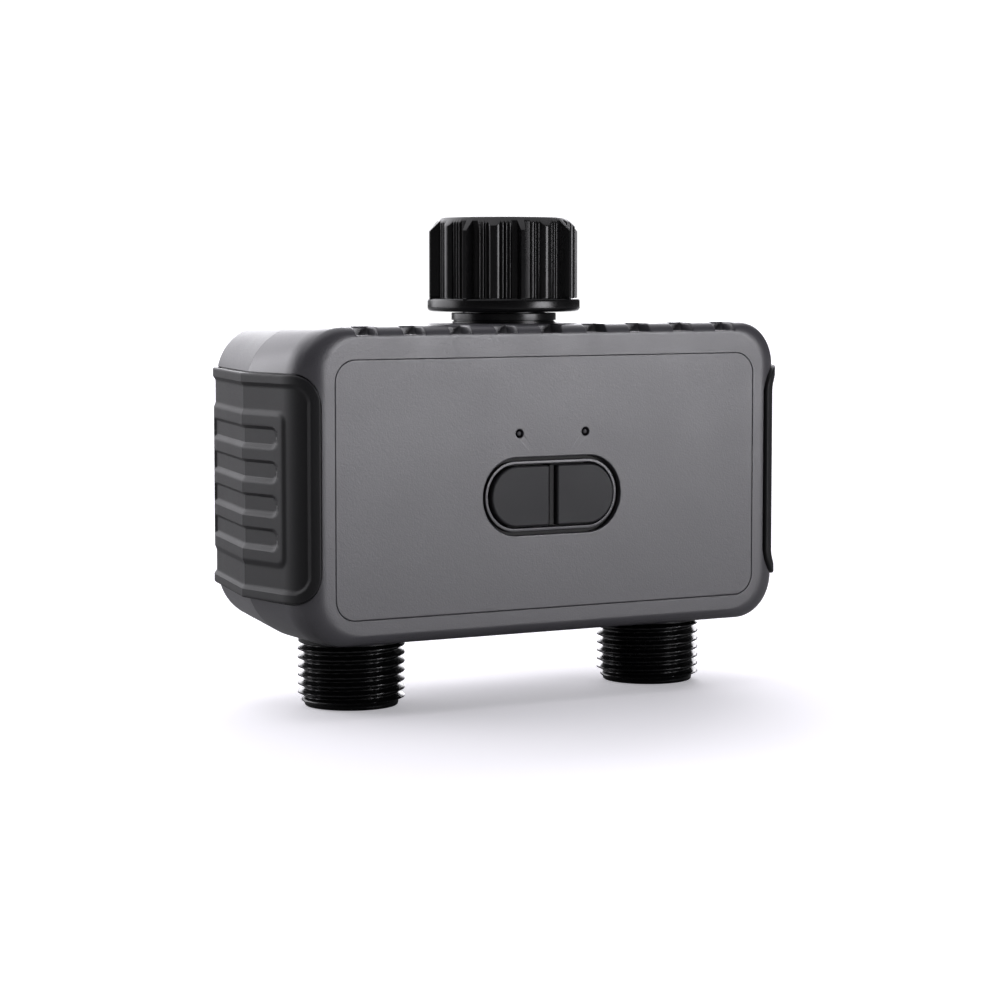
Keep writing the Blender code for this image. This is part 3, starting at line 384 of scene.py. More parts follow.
def top_columns():
    """Positions across the top edge, closer together at the sides of each pocket, from right to left."""
    columns = {-COLUMN_END, COLUMN_END}
    edge_steps = (0.5, 0.36, 0.24, 0.13, 0.05, 0.0, -0.05, -0.12, -0.5)
    for number in range(POCKETS):
        centre = (number - (POCKETS - 1) / 2) * POCKET_PITCH
        for sign in (-1, 1):
            for step in edge_steps:
                columns.add(round(centre + sign * (POCKET_HALF + step), 4))
        for inside in (-1.2, 0.0, 1.2):
            columns.add(round(centre + inside, 4))
        if number:
            columns.add(round(centre - POCKET_PITCH / 2, 4))
    return [x for x in sorted(columns, reverse=True) if abs(x) <= COLUMN_END]


COLUMNS = top_columns()
CORNER_STEPS = 20
SIDE_STEPS = 12
BOTTOM_STEPS = 24


def outline(half_x, half_z, radius, scaled=False):
    """Points of a rounded rectangle whose top has the pocket columns, anticlockwise from the top right."""
    radius = min(radius, half_z * 0.98, half_x * 0.98)
    flat_x = half_x - radius
    flat_z = half_z - radius
    factor = flat_x / COLUMN_END if scaled else 1.0
    points = []
    for x in COLUMNS:
        x *= factor
        beyond = max(abs(x) - flat_x, 0.0)
        points.append((x, flat_z + math.sqrt(max(radius ** 2 - beyond ** 2, 0.0))))
    end_x = COLUMN_END * factor
    lead = max(flat_x - end_x, 0.0)
    start_angle = math.asin(min(max(end_x - flat_x, 0.0) / radius, 1.0))
    bend = radius * (math.pi / 2 - start_angle)
    left = []
    for step in range(1, CORNER_STEPS + 1):
        along = (lead + bend) * step / CORNER_STEPS
        if along <= lead:
            left.append((end_x + along, half_z))
        else:
            angle = start_angle + (along - lead) / radius
            left.append((flat_x + radius * math.sin(angle), flat_z + radius * math.cos(angle)))
    points += [(-x, z) for x, z in left]
    points += [(-half_x, flat_z - 2 * flat_z * step / SIDE_STEPS) for step in range(1, SIDE_STEPS)]
    quarter = []
    for step in range(CORNER_STEPS + 1):
        angle = math.pi / 2 * step / CORNER_STEPS
        quarter.append((flat_x + radius * math.cos(angle), -flat_z - radius * math.sin(angle)))
    points += [(-x, z) for x, z in quarter]
    points += [(-flat_x + 2 * flat_x * step / BOTTOM_STEPS, -half_z) for step in range(1, BOTTOM_STEPS)]
    points += list(reversed(quarter))
    points += [(half_x, -flat_z + 2 * flat_z * step / SIDE_STEPS) for step in range(1, SIDE_STEPS)]
    points += list(reversed(left))
    return points


def oval(half, by=0.0):
    """Half-width, half-height and radius of an oval opening, enlarged on all sides."""
    return half[0] + by, half[1] + by, half[1] + by


def grown(half, by):
    """A rounded rectangle's half-sizes and radius, enlarged on all sides."""
    return tuple(value + by for value in half)


def ring(points, y, mid_z):
    return [(x, y, mid_z + z) for x, z in points]


def plate_loops(half, centre_z, rows, scaled=False):
    """Loops of an outline at a row of (inset, y) pairs."""
    loops = []
    for inset, y in rows:
        points = outline(half[0] - inset, half[1] - inset, max(half[2] - inset, 0.05), scaled)
        loops.append(ring(points, y, centre_z))
    return loops


# Housing

def filleted(parting_half, end_half, fillet, depth, y):
    """Half-size at a distance from the parting plane. The fillet starts in line with the tapered side."""
    slope = (end_half - parting_half) / depth
    beyond = y - (depth - fillet)
    if beyond <= 0:
        return parting_half + slope * y
    at_start = parting_half + slope * (depth - fillet)
    bend = slope * beyond * (1 - beyond / fillet)
    return at_start + bend - fillet + math.sqrt(max(fillet ** 2 - beyond ** 2, 0.0))


def section(direction, y, inset=0.0):
    """Half-width, half-height and corner radius of one half of the housing."""
    end, depth, fillet = (FRONT_HALF, FRONT_DEPTH, FRONT_FILLET)
    if direction > 0:
        end, depth, fillet = (REAR_HALF, REAR_DEPTH, REAR_FILLET)
    half_x = filleted(PARTING_HALF[0], end[0], fillet[0], depth, y)
    half_z = filleted(PARTING_HALF[1], end[1], fillet[1], depth, y)
    radius = PARTING_HALF[2] + (end[2] - PARTING_HALF[2]) * y / depth
    radius -= 0.3 * max(y - (depth - fillet[1]), 0.0)
    return half_x - inset, half_z - inset, radius - inset


def fillet_rows(depth, fillet):
    """Distances at which the rounded end is divided."""
    rows = []
    for step in range(1, 8):
        rows.append(depth - fillet[0] + (fillet[0] - fillet[1]) * step / 8)
    for step in range(15):
        rows.append(depth - fillet[1] + fillet[1] * math.sin(math.pi / 2 * step / 14))
    return rows


def pocket_drop(x, y):
    """How far the pockets lower the surface of the top edge at a place, with rounded rims."""
    nearest = round(x / POCKET_PITCH) * POCKET_PITCH
    if abs(nearest) > (POCKETS - 1) / 2 * POCKET_PITCH + 0.1:
        return 0.0
    across = abs(x - nearest) - (POCKET_HALF - POCKET_CORNER)
    along = (POCKET_REAR_Y + POCKET_CORNER) - y
    outside = math.hypot(max(across, 0.0), max(along, 0.0)) + min(max(across, along), 0.0) - POCKET_CORNER
    if outside >= POCKET_RIM:
        return 0.0
    if outside >= 0:
        return POCKET_RIM - math.sqrt(POCKET_RIM ** 2 - (POCKET_RIM - outside) ** 2)
    if outside >= -0.12:
        return POCKET_RIM + 2.2 * (-outside / 0.12)
    return DEEPER_THAN_FLOOR


def front_loop(y):
    points = outline(*section(-1, y))
    loop = []
    for x, z in points:
        height = BODY_MID_Z + z
        if z > 0 and abs(x) <= COLUMN_END and height > POCKET_FLOOR_Z:
            height = max(height - pocket_drop(x, y), POCKET_FLOOR_Z)
        loop.append((x, -y, height))
    return loop


def half_shell_inside(direction, depth, fillet):
    """Loops of the hollow, from the end wall back to the parting plane."""
    inner = depth - FACE_WALL
    loops = []
    for y, extra in ((inner, 2.5), (inner - 2.5, 0.0), (SEAM, 0.0)):
        half = section(direction, min(y, depth - fillet[0]), WALL + extra)
        loops.append(ring(outline(*half), direction * y, BODY_MID_Z))
    return loops


def make_front_shell():
    rows = [SEAM, 0.6, 5.0, 11.0, 15.0, 16.5]
    rows += [17.1, 17.4, 17.55, 17.65, 17.76, 17.87, 17.95, 18.0, 18.05, 18.12, 18.5]
    rows += [y for y in fillet_rows(FRONT_DEPTH, FRONT_FILLET) if y > 18.6]
    loops = [front_loop(y) for y in rows]
    face = -FRONT_DEPTH
    recess = grown(PANEL_HALF, PANEL_GAP)
    floor_y = face + PANEL_THICKNESS + 0.3
    edge = 0.3
    loops += plate_loops(recess, PANEL_Z, [(-edge - 0.6, face), (-edge - 0.05, face)])
    # The wall of the recess is undercut, which keeps the line round the panel thin and dark
    undercut = [(rise - edge, face + edge - inset) for inset, rise in reversed(rounding(edge))]
    loops += plate_loops(recess, PANEL_Z, undercut)
    loops += plate_loops(recess, PANEL_Z, [(0, face + 0.8), (0, floor_y)])
    loops += plate_loops(oval(PANEL_OPENING, 0.2), KEYS_Z, [(0, floor_y)], True)
    ring_half = oval(KEY_RING)
    top_y = face + RING_SUNK
    soft = 0.22
    loops += plate_loops(ring_half, KEYS_Z, [(0, floor_y), (0, top_y + soft + 0.05)], True)
    outer_edge = [(inset, top_y + soft - rise) for inset, rise in rounding(soft)]
    loops += plate_loops(ring_half, KEYS_Z, outer_edge, True)
    hole = oval(KEY_OPENING)
    loops += plate_loops(hole, KEYS_Z, [(-soft - 0.04, top_y)], True)
    inner_edge = [(-(soft - rise), top_y + inset) for inset, rise in rounding(soft)]
    loops += plate_loops(hole, KEYS_Z, inner_edge, True)
    loops += plate_loops(hole, KEYS_Z, [(0, face + FACE_WALL)], True)
    loops += half_shell_inside(-1, FRONT_DEPTH, FRONT_FILLET)
    verts, faces = skin(loops, closed=True)
    shell = build("front_housing", verts, faces)
    tools = []
    for _, sign in SIDES:
        tools.append(cylinder_y(LAMP_HOLE_R, face - 1, face + 5, sign * LAMP_X, LAMP_Z, 32))
    tools += passage_tools()
    carve(shell, tools)
    carve(shell, grip_tools())
    show(shell, "housing_grey", "housing", "front_shell")
    # Painted shade: the groove round the keys takes a dark finish where it lies in shade
    paint_groove_shade(shell, floor_y)


def paint_groove_shade(shell, floor_y):
    """Paint shade into the groove round the keys: its floor and the foot of its inner wall take the dark
    seal rubber finish, which stands in for shade.
    """
    # The seal rubber finish here is painted shade, not a seal
    shell.data.materials.append(FINISH["seal_rubber"])
    half_x, half_z, _ = oval(PANEL_OPENING, 0.3)
    for polygon in shell.data.polygons:
        x, y, z = polygon.center / MM
        y -= PARTING_Y / MM
        outside = rectangle_distance(x, z, -half_x, half_x, KEYS_Z - half_z, KEYS_Z + half_z, half_z)
        low_z, high_z = KEYS_Z - KEY_RING[1], KEYS_Z + KEY_RING[1]
        inside = rectangle_distance(x, z, -KEY_RING[0], KEY_RING[0], low_z, high_z, KEY_RING[1])
        if outside < 0 and inside > -0.05 and floor_y - 1.0 < y < floor_y + 0.05:
            polygon.material_index = 1


def cylinder_y(radius, y_from, y_to, x, z, segments=48):
    profile = [(0, y_from), (radius, y_from), (radius, y_to), (0, y_to)]
    return solid_spin("tool", profile, segments, (x, z), "Y")


def cylinder_z(radius, z_from, z_to, x, segments=96):
    profile = [(0, z_from), (radius, z_from), (radius, z_to), (0, z_to)]
    return solid_spin("tool", profile, segments, (x, 0))


def passage_tools():
    """Round holes in the parting plane for the neck and the two outlets."""
    tools = [cylinder_z(NECK_R + 0.3, 90, 99, 0)]
    tools += [cylinder_z(CREST_R + 0.2, 12, 21, sign * ZONE_X) for _, sign in SIDES]
    return tools


def make_rear_shell():
    rows = [SEAM, 0.6, 8.0, 16.0, 24.0, 30.0, 33.0]
    rows += [y for y in fillet_rows(REAR_DEPTH, REAR_FILLET) if y > 33.1]
    loops = [ring(outline(*section(1, y)), y, BODY_MID_Z) for y in rows]
    recess = grown(DOOR_HALF, DOOR_GAP)
    seat = REAR_DEPTH + DOOR_PROUD - DOOR_THICKNESS - 0.3
    edge = 0.3
    loops += plate_loops(recess, BODY_MID_Z, [(-edge - 0.6, REAR_DEPTH), (-edge - 0.05, REAR_DEPTH)], True)
    rounded = [(-(edge - rise), REAR_DEPTH - inset) for inset, rise in rounding(edge)]
    loops += plate_loops(recess, BODY_MID_Z, rounded, True)
    loops += plate_loops(recess, BODY_MID_Z, [(0, seat)], True)
    bay = (BAY_HALF[0], BAY_HALF[1], 1.0)
    seal_groove = [(-2.1, seat), (-2.1, seat - 0.9), (-0.6, seat - 0.9), (-0.6, seat)]
    loops += plate_loops(bay, BAY_Z, seal_groove, True)
    loops += plate_loops(bay, BAY_Z, [(-0.2, seat), (0, seat - 0.2), (0, REAR_DEPTH - FACE_WALL)], True)
    loops += half_shell_inside(1, REAR_DEPTH, REAR_FILLET)
    verts, faces = skin(loops, closed=True)
    shell = build("rear_housing", verts, faces)
    carve(shell, [cylinder_y(3.6, 28, 38.2, x, z, 40) for x, z in HOUSING_SCREWS], "UNION")
    wells = []
    for x, z in HOUSING_SCREWS:
        profile = [(0, 37.1), (2.9, 37.1), (2.9, REAR_DEPTH - 0.3), (2.97, REAR_DEPTH - 0.13),
                   (3.1, REAR_DEPTH + 0.01), (3.1, REAR_DEPTH + 2), (0, REAR_DEPTH + 2)]
        wells.append(solid_spin("tool", profile, 48, (x, z), "Y"))
    carve(shell, wells)
    carve(shell, [cylinder_y(1.2, 30, REAR_DEPTH, sign * DOOR_SCREW_X, BODY_MID_Z, 32) for _, sign in SIDES])
    carve(shell, passage_tools())
    carve(shell, grip_tools())
    show(shell, "housing_grey", "housing", "rear_shell")


# Grips

def side_line():
    """Y positions along the housing's side, from the rear end of a grip to its front end."""
    line = []
    rear = 14
    for step in range(rear + 1):
        angle = GRIP_REAR_ANGLE * (1 - step / rear)
        line.append(REAR_DEPTH - REAR_FILLET[0] + REAR_FILLET[0] * math.sin(angle))
    for y in np.linspace(REAR_DEPTH - REAR_FILLET[0] - 0.4, 0.0, 40):
        line.append(float(y))
    for y in np.linspace(0.0, -(FRONT_DEPTH - FRONT_FILLET[0]) + 0.3, 22)[1:]:
        line.append(float(y))
    front = 34
    for step in range(front + 1):
        angle = GRIP_FRONT_ANGLE * step / front
        line.append(-(FRONT_DEPTH - FRONT_FILLET[0]) - FRONT_FILLET[0] * math.sin(angle))
    return line


def side_point(y):
    return np.array((section(1 if y > 0 else -1, abs(y))[0], y))


def grip_stations():
    """(point, outward direction, length so far) at each station of a grip."""
    line = side_line()
    points = [side_point(y) for y in line]
    stations = []
    length = 0.0
    for index, point in enumerate(points):
        before = points[max(index - 1, 0)]
        after = points[min(index + 1, len(points) - 1)]
        if abs(line[index]) < 1e-9:
            first = (point - before) / np.linalg.norm(point - before)
            second = (after - point) / np.linalg.norm(after - point)
            tangent = first + second
            stretch = 2 / np.linalg.norm(tangent)
        else:
            tangent = after - before
            stretch = 1.0
        tangent = tangent / np.linalg.norm(tangent)
        if index:
            length += float(np.linalg.norm(point - before))
        outward = np.array((-tangent[1], tangent[0])) * stretch
        stations.append((point, outward, length))
    return stations


def rectangle_distance(s, z, low_s, high_s, low_z, high_z, radius):
    """Signed distance to a rounded rectangle, negative inside."""
    mid_s, mid_z = (low_s + high_s) / 2, (low_z + high_z) / 2
    out_s = abs(s - mid_s) - (high_s - low_s) / 2 + radius
    out_z = abs(z - mid_z) - (high_z - low_z) / 2 + radius
    return math.hypot(max(out_s, 0), max(out_z, 0)) + min(max(out_s, out_z), 0) - radius


def ease(value):
    """0 below 0 and 1 above 1, with slightly softened ends."""
    value = min(max(value, 0.0), 1.0)
    soft = value * value * (3 - 2 * value)
    return 0.65 * value + 0.35 * soft


def grip_height(s, z, total):
    """How far the grip stands out of the housing: rim, channel, pad and slots."""
    corner = GRIP_CORNER if s > total / 2 else GRIP_REAR_CORNER
    outer = rectangle_distance(s, z, 0, total, GRIP_Z[0], GRIP_Z[1], corner)
    rim = rectangle_distance(s, z, -20, total, GRIP_Z[0], GRIP_Z[1], GRIP_CORNER)
    falling = ease((-rim - RIM_WIDTH) / 1.0)
    pad_low, pad_high = PAD_MID_Z - PAD_HALF_Z, PAD_MID_Z + PAD_HALF_Z
    pad = rectangle_distance(s, z, PAD_START, total - PAD_INSET - 0.8, pad_low, pad_high, 1.5)
    rising = ease((1.3 - pad) / 1.3)
    height = GRIP_PROUD - CHANNEL_DEPTH * falling * (1 - rising) - PAD_SUNK * rising
    slot_high = total - PAD_INSET - 2.5
    for slot in range(SLOTS):
        centre = PAD_MID_Z + (slot - (SLOTS - 1) / 2) * SLOT_PITCH
        if abs(z - centre) < SLOT_HALF + 0.2:
            end = SLOT_HALF if s > total / 2 else 1.2
            low_z, high_z = centre - SLOT_HALF, centre + SLOT_HALF
            away = rectangle_distance(s, z, SLOT_START, slot_high, low_z, high_z, end)
            wall = UPPER_WALL if z > centre else LOWER_WALL
            if s < SLOT_START + 1.5 and s - SLOT_START < SLOT_HALF - abs(z - centre):
                wall = REAR_WALL
            height -= SLOT_DEPTH * ease(-away / wall)
    if outer > -GRIP_EDGE:
        height -= GRIP_EDGE - math.sqrt(max(GRIP_EDGE ** 2 - (GRIP_EDGE + outer) ** 2, 0.0))
    return height


def grip_columns(index, stations):
    """Lower and upper end of the grip at a station, with rounded corners."""
    total = stations[-1][2]
    along = stations[index][2]
    corner = GRIP_CORNER if along > total / 2 else GRIP_REAR_CORNER
    to_end = min(along, total - along, corner)
    drop = corner - math.sqrt(corner ** 2 - (corner - to_end) ** 2)
    return GRIP_Z[0] + drop, GRIP_Z[1] - drop


def grip_levels():
    """Shares of the height at which a grip is divided, closer together at its edges."""
    edge = [0.0, 0.0012, 0.003, 0.006, 0.0095]
    inner = list(np.linspace(0.014, 0.986, 190))
    return edge + inner + [1 - e for e in reversed(edge)]


def make_grips():
    stations = refine_ends(grip_stations())
    total = stations[-1][2]
    levels = grip_levels()
    for side, sign in SIDES:
        front_rows = []
        back_rows = []
        for index, (point, outward, length) in enumerate(stations):
            low, high = grip_columns(index, stations)
            front, back = [], []
            for level in levels:
                z = low + (high - low) * level
                height = grip_height(length, z, total)
                place_out = point + outward * height
                place_in = point - outward * GRIP_SUNK
                front.append((sign * place_out[0], place_out[1], z))
                back.append((sign * place_in[0], place_in[1], z))
            front_rows.append(front)
            back_rows.append(back)
        loops = [front + list(reversed(back)) for front, back in zip(front_rows, back_rows)]
        verts, faces = skin(loops)
        faces = faces[:-2]
        around = len(levels) * 2
        count = len(levels)
        last = (len(stations) - 1) * around
        for start in (0, last):
            for step in range(count - 1):
                opposite = start + around - 1 - step
                faces.append([start + step, start + step + 1, opposite - 1, opposite])
        grip = build(f"grip_moulding_{side}", verts, faces, 20.0)
        show(grip, "grip_rubber", "housing", f"grip_{side}")


def refine_ends(stations):
    """Add stations close to both ends, where the edge of the grip is rounded."""
    refined = []
    for index, station in enumerate(stations):
        refined.append(station)
        if index == len(stations) - 1:
            break
        following = stations[index + 1]
        shares = ()
        if index == 0:
            shares = (0.05, 0.12, 0.22, 0.4, 0.7)
        elif index in (1, 2):
            shares = (0.5,)
        elif index == len(stations) - 2:
            shares = (0.2, 0.45, 0.65, 0.8, 0.9, 0.96)
        elif index >= len(stations) - 8:
            shares = (0.5,)
        for share in shares:
            point = station[0] + (following[0] - station[0]) * share
            outward = station[1] + (following[1] - station[1]) * share
            length = station[2] + (following[2] - station[2]) * share
            refined.append((point, outward, length))
    return refined


def grip_tools():
    """Cutters that are a little larger than the grips, which seat them in the shells."""
    stations = grip_stations()
    tools = []
    for side, sign in SIDES:
        loops = []
        for index, (point, outward, _) in enumerate(stations):
            low, high = grip_columns(index, stations)
            low, high = low - GRIP_GAP, high + GRIP_GAP
            if index in (0, len(stations) - 1):
                along = np.array((-outward[1], outward[0]))
                point = point + along * GRIP_GAP * (1 if index == 0 else -1)
            loop = []
            for z, out in ((high, -GRIP_SUNK - 0.3), (low, -GRIP_SUNK - 0.3), (low, 4.0), (high, 4.0)):
                spot = point + outward * out
                loop.append((sign * spot[0], spot[1], z))
            loops.append(loop)
        verts, faces = skin(loops)
        tools.append(build("tool", verts, faces))
    return tools


# Face

def make_face_panel():
    front = -FRONT_DEPTH
    back = front + PANEL_THICKNESS
    edge = 0.28
    loops = plate_loops(PANEL_HALF, PANEL_Z, [(0, back), (0, front + edge + 0.1)])
    outer_edge = [(inset, front + edge - rise) for inset, rise in rounding(edge)]
    loops += plate_loops(PANEL_HALF, PANEL_Z, outer_edge + [(edge + 0.08, front)])
    hole = oval(PANEL_OPENING)
    loops += plate_loops(hole, KEYS_Z, [(-edge - 0.08, front)], True)
    inner_edge = [(-(edge - rise), front + inset) for inset, rise in rounding(edge)]
    loops += plate_loops(hole, KEYS_Z, inner_edge + [(0, back)], True)
    verts, faces = skin(loops, closed=True)
    panel = build("front_plate", verts, faces)
    tools = []
    for _, sign in SIDES:
        profile = [(0, front - 1), (1.45, front - 1), (1.33, front), (1.16, front + 0.06),
                   (1.06, front + 0.2), (1.03, front + 0.5), (1.03, back + 1), (0, back + 1)]
        tools.append(solid_spin("tool", profile, 48, (sign * LAMP_X, LAMP_Z), "Y"))
    carve(panel, tools)
    show(panel, "housing_grey", "housing", "face_panel")


def arc(centre, radius, start, sweep, steps):
    """Points of an arc, from one angle in degrees through a sweep."""
    angles = [math.radians(start + sweep * step / steps) for step in range(steps + 1)]
    return [(centre[0] + radius * math.cos(angle), centre[1] + radius * math.sin(angle)) for angle in angles]


def key_outline(inset):
    """A half oval, open side towards the split, with small corners there. Right-hand key."""
    radius = KEY_HALF[1] - inset
    centre_x = KEY_HALF[0] - KEY_HALF[1]
    corner = max(KEY_CORNER - inset, 0.1)
    low_x = KEY_SPLIT + inset
    corner_x = low_x + corner
    points = arc((centre_x, 0), radius, -90, 180, 40)
    points += [(centre_x + (corner_x - centre_x) * share, radius) for share in (0.3, 0.6)]
    points += arc((corner_x, radius - corner), corner, 90, 90, 6)
    points += [(low_x, (radius - corner) * (1 - 2 * share)) for share in (0.25, 0.5, 0.75)]
    points += arc((corner_x, corner - radius), corner, 180, 90, 6)
    points += [(centre_x + (corner_x - centre_x) * share, -radius) for share in (0.6, 0.3)]
    return points


def make_keys():
    front = -FRONT_DEPTH - KEY_PROUD
    edge = 0.45
    rows = [(0, front + KEY_THICKNESS), (0, front + edge + 0.15)]
    rows += [(inset, front + edge - rise) for inset, rise in rounding(edge, 5)]
    rows += [(edge + 0.1, front), (2.5, front + 0.01)]
    for side, sign in SIDES:
        loops = []
        for inset, y in rows:
            loops.append([(sign * x, y, KEYS_Z + z) for x, z in key_outline(inset)])
        verts, faces = skin(loops)
        key = build(f"key_{side}", verts, faces)
        show(key, "key_grey", f"button_{side}", f"button_{side}")


def make_lenses():
    face = -FRONT_DEPTH + 0.2
    profile = [(0, face), (0.35, face + 0.02), (0.5, face + 0.08), (0.58, face + 0.2), (0.58, face + 3.3),
               (1.15, face + 3.3), (1.15, face + 4.2), (0, face + 4.2)]
    for side, sign in SIDES:
        lens = solid_spin(f"lamp_lens_{side}", profile, 32, (sign * LAMP_X, LAMP_Z), "Y")
        show(lens, "lens_clear", "housing", f"led_lens_{side}")


# Inlet and outlets

RIB_COUNT = 8
RIB_PHASE = math.radians(29.1)
NUT_AROUND = 120
NUT_BASE_R = 17.1
NUT_RIB_R = 19.55
NUT_LOBE = 1.3
FINE_RIB = 0.5
NUT_TOP_R = 16.1
NUT_FLANGE_R = 19.6
NUT_THREAD = (12.6, 13.4)


def nut_radius(degrees):
    """Outline of one sector of the nut: a tall rib, a gap, three fine ribs and half a broad lobe."""
    away = abs(degrees)
    if away < 3.2:
        return NUT_BASE_R + (NUT_RIB_R - NUT_BASE_R) * (1 - ease((away - 1.5) / 1.5))
    if away < 8.0:
        return NUT_BASE_R
    if away < 17.2:
        return NUT_BASE_R + FINE_RIB * abs(math.sin(math.pi * (away - 8.0) / 3.067)) ** 0.8
    return NUT_BASE_R + NUT_LOBE * math.sqrt(max(1 - ((22.5 - away) / 5.3) ** 2, 0.0))


def make_nut():
    angles, radii = [], []
    for rib in range(RIB_COUNT):
        for step in range(NUT_AROUND):
            degrees = -22.5 + 45.0 * step / NUT_AROUND
            angles.append(RIB_PHASE + math.radians(degrees) + 2 * math.pi * rib / RIB_COUNT)
            radii.append(nut_radius(degrees))
    angles, radii = np.array(angles), np.array(radii)
    cosines, sines = np.cos(angles), np.sin(angles)

    def row(radius, height):
        radius = np.broadcast_to(radius, angles.shape)
        height = np.broadcast_to(height, angles.shape)
        return np.stack([radius * cosines, radius * sines, height], axis=-1)

    top_r = NUT_TOP_R
    flange = NUT_FLANGE_R
    meet = NUT_TOP_Z - (radii - top_r)
    loops = [row(10.95, 98.7), row(flange - 1.1, 98.7), row(flange - 0.55, 98.85), row(flange - 0.2, 99.15),
             row(flange, 99.6), row(flange, 99.8), row(flange, 101.3), row(flange - 0.08, 101.65),
             row(np.maximum(radii, flange - 0.3), 101.92), row(np.maximum(radii, flange - 0.6), 102.05),
             row(np.maximum(radii, flange - 0.8), 102.08), row(radii + 0.12, 102.08), row(radii, 102.2),
             row(radii, 102.6), row(radii, meet - 0.25), row(radii - 0.03, meet - 0.08),
             row(radii - 0.13, meet + 0.05), row(radii - 0.3, meet + 0.27)]
    loops += [row(top_r + 0.35, NUT_TOP_Z - 0.38), row(top_r + 0.15, NUT_TOP_Z - 0.17),
              row(top_r - 0.05, NUT_TOP_Z - 0.04), row(top_r - 0.3, NUT_TOP_Z), row(top_r - 0.4, NUT_TOP_Z),
              row(13.75, NUT_TOP_Z), row(13.6, NUT_TOP_Z - 0.05)]
    crest, root = NUT_THREAD
    for height in np.arange(121.9, 110.9, -0.22):
        phase = (height / THREAD_PITCH - angles / (2 * math.pi)) % 1.0
        tooth = np.clip((0.88 - np.abs(phase - 0.5) * 2) / 0.76, 0, 1)
        fade = min((122.0 - height) / 1.2, 1.0) * min((height - 110.8) / 0.8, 1.0)
        loops.append(row(root - (root - crest) * tooth * fade, height))
    loops += [row(13.5, 110.7), row(13.5, 103.7), row(10.95, 103.7)]
    verts, faces = skin(loops, closed=True)
    nut = build("swivel_nut", verts, faces, 28.0)
    show(nut, "black_plastic", "inlet_nut", "inlet_nut")


def make_outlets():
    around = 144
    angles = np.arange(around) * 2 * math.pi / around
    for side, sign in SIDES:
        centre = sign * ZONE_X

        def row(radius, height):
            radius = np.broadcast_to(radius, angles.shape)
            return np.stack([centre + radius * np.cos(angles), radius * np.sin(angles),
                             np.full(around, float(height))], axis=-1)

        loops = [row(BORE_R, 27.1), row(BORE_R, 0.5), row(BORE_R + 0.1, 0.2), row(BORE_R + 0.35, 0.0),
                 row(ROOT_R - 0.75, 0.0), row(ROOT_R - 0.35, 0.08), row(ROOT_R - 0.1, 0.32),
                 row(ROOT_R, 0.7)]
        for height in np.arange(0.8, 16.0, 0.1):
            phase = (height / THREAD_PITCH - angles / (2 * math.pi) + 0.35) % 1.0
            tooth = np.clip((0.90 - np.abs(phase - 0.5) * 2) / 0.74, 0, 1)
            tooth = tooth * (0.85 + 0.15 * tooth)
            turn = (height - 0.8) / 1.5
            fade = min(max(turn, 0.0), 1.0) * min(max((16.2 - height) / 0.6, 0.0), 1.0)
            loops.append(row(ROOT_R + (CREST_R - ROOT_R) * tooth * fade, height))
        collar = [(ROOT_R, 16.05), (ROOT_R + 0.1, 16.15), (13.1, 16.15), (13.3, 16.3), (13.3, 21.0),
                  (14.6, 21.0), (14.6, 21.3), (11.0, 21.3)]
        seal_groove = [(11.0, 23.2), (9.9, 23.2), (9.9, 24.8), (11.0, 24.8), (11.0, 27.1)]
        loops += [row(radius, height) for radius, height in collar + seal_groove]
        verts, faces = skin(loops, closed=True)
        outlet = build(f"threaded_outlet_{side}", verts, faces, 40.0)
        show(outlet, "black_plastic", "housing", f"outlet_{side}")


def make_manifold():
    """Neck, down pipe, gallery and two valve bodies in one, with a banded collar where the neck shows."""
    foot = [(0, 88.8), (9.6, 88.8), (9.6, 89.8), (15.5, 89.8), (15.5, 91.6), (NECK_R, 91.6), (NECK_R, 93.9)]
    seal_groove = [(12.1, 93.9), (12.1, 95.5)]
    band = [(13.1, 95.5), (13.2, 95.6), (13.2, 96.05), (13.1, 96.15), (12.9, 96.2), (12.9, 96.42)]
    collar = [(13.3, 96.45), (13.42, 96.5), (NECK_R, 96.6), (NECK_R, 98.1), (13.4, 98.22), (13.25, 98.3)]
    lip = [(10.6, 98.3), (10.6, 104.0), (12.0, 104.0), (12.2, 104.2), (12.2, 105.8), (12.0, 106.0)]
    inside = [(8.2, 106.0), (8.0, 105.8), (8.0, 91.4), (0, 91.4)]
    manifold = solid_spin("manifold_casting", foot + seal_groove + band + collar + lip + inside, 128)
    down_pipe = [(0, 37.1), (7.3, 37.1), (7.3, 90.3), (0, 90.3)]
    carve(manifold, [solid_spin("tool", down_pipe, 48, (0, PIPE_Y))], "UNION")
    carve(manifold, [cylinder_x(6.3, 36.5)], "UNION")
    body = [(12.6, 21.6), (12.6, 42.6), (14.0, 42.6), (14.0, 46.0), (11.1, 46.0), (11.1, 29.5), (7.4, 29.5),
            (7.4, 41.0), (6.0, 41.0), (6.0, 27.4), (11.35, 27.4), (11.35, 21.6)]
    carve(manifold, [spin(body, 72, (sign * ZONE_X, 0), name="tool") for _, sign in SIDES], "UNION")
    carve(manifold, [cylinder_x(4.7, 37.0)])
    down_bore = [(0, 36.7), (4.4, 36.7), (4.4, 92.5), (0, 92.5)]
    carve(manifold, [solid_spin("tool", down_bore, 48, (0, PIPE_Y))])
    show(manifold, "black_plastic", "housing", "manifold")


def cylinder_x(radius, half_length):
    """Rod along the gallery."""
    loops = []
    for x in (-half_length, half_length):
        loops.append([(x, PIPE_Y + radius * math.cos(a), GALLERY_Z + radius * math.sin(a))
                      for a in np.arange(48) * math.pi / 24])
    return build("tool", *skin(loops))


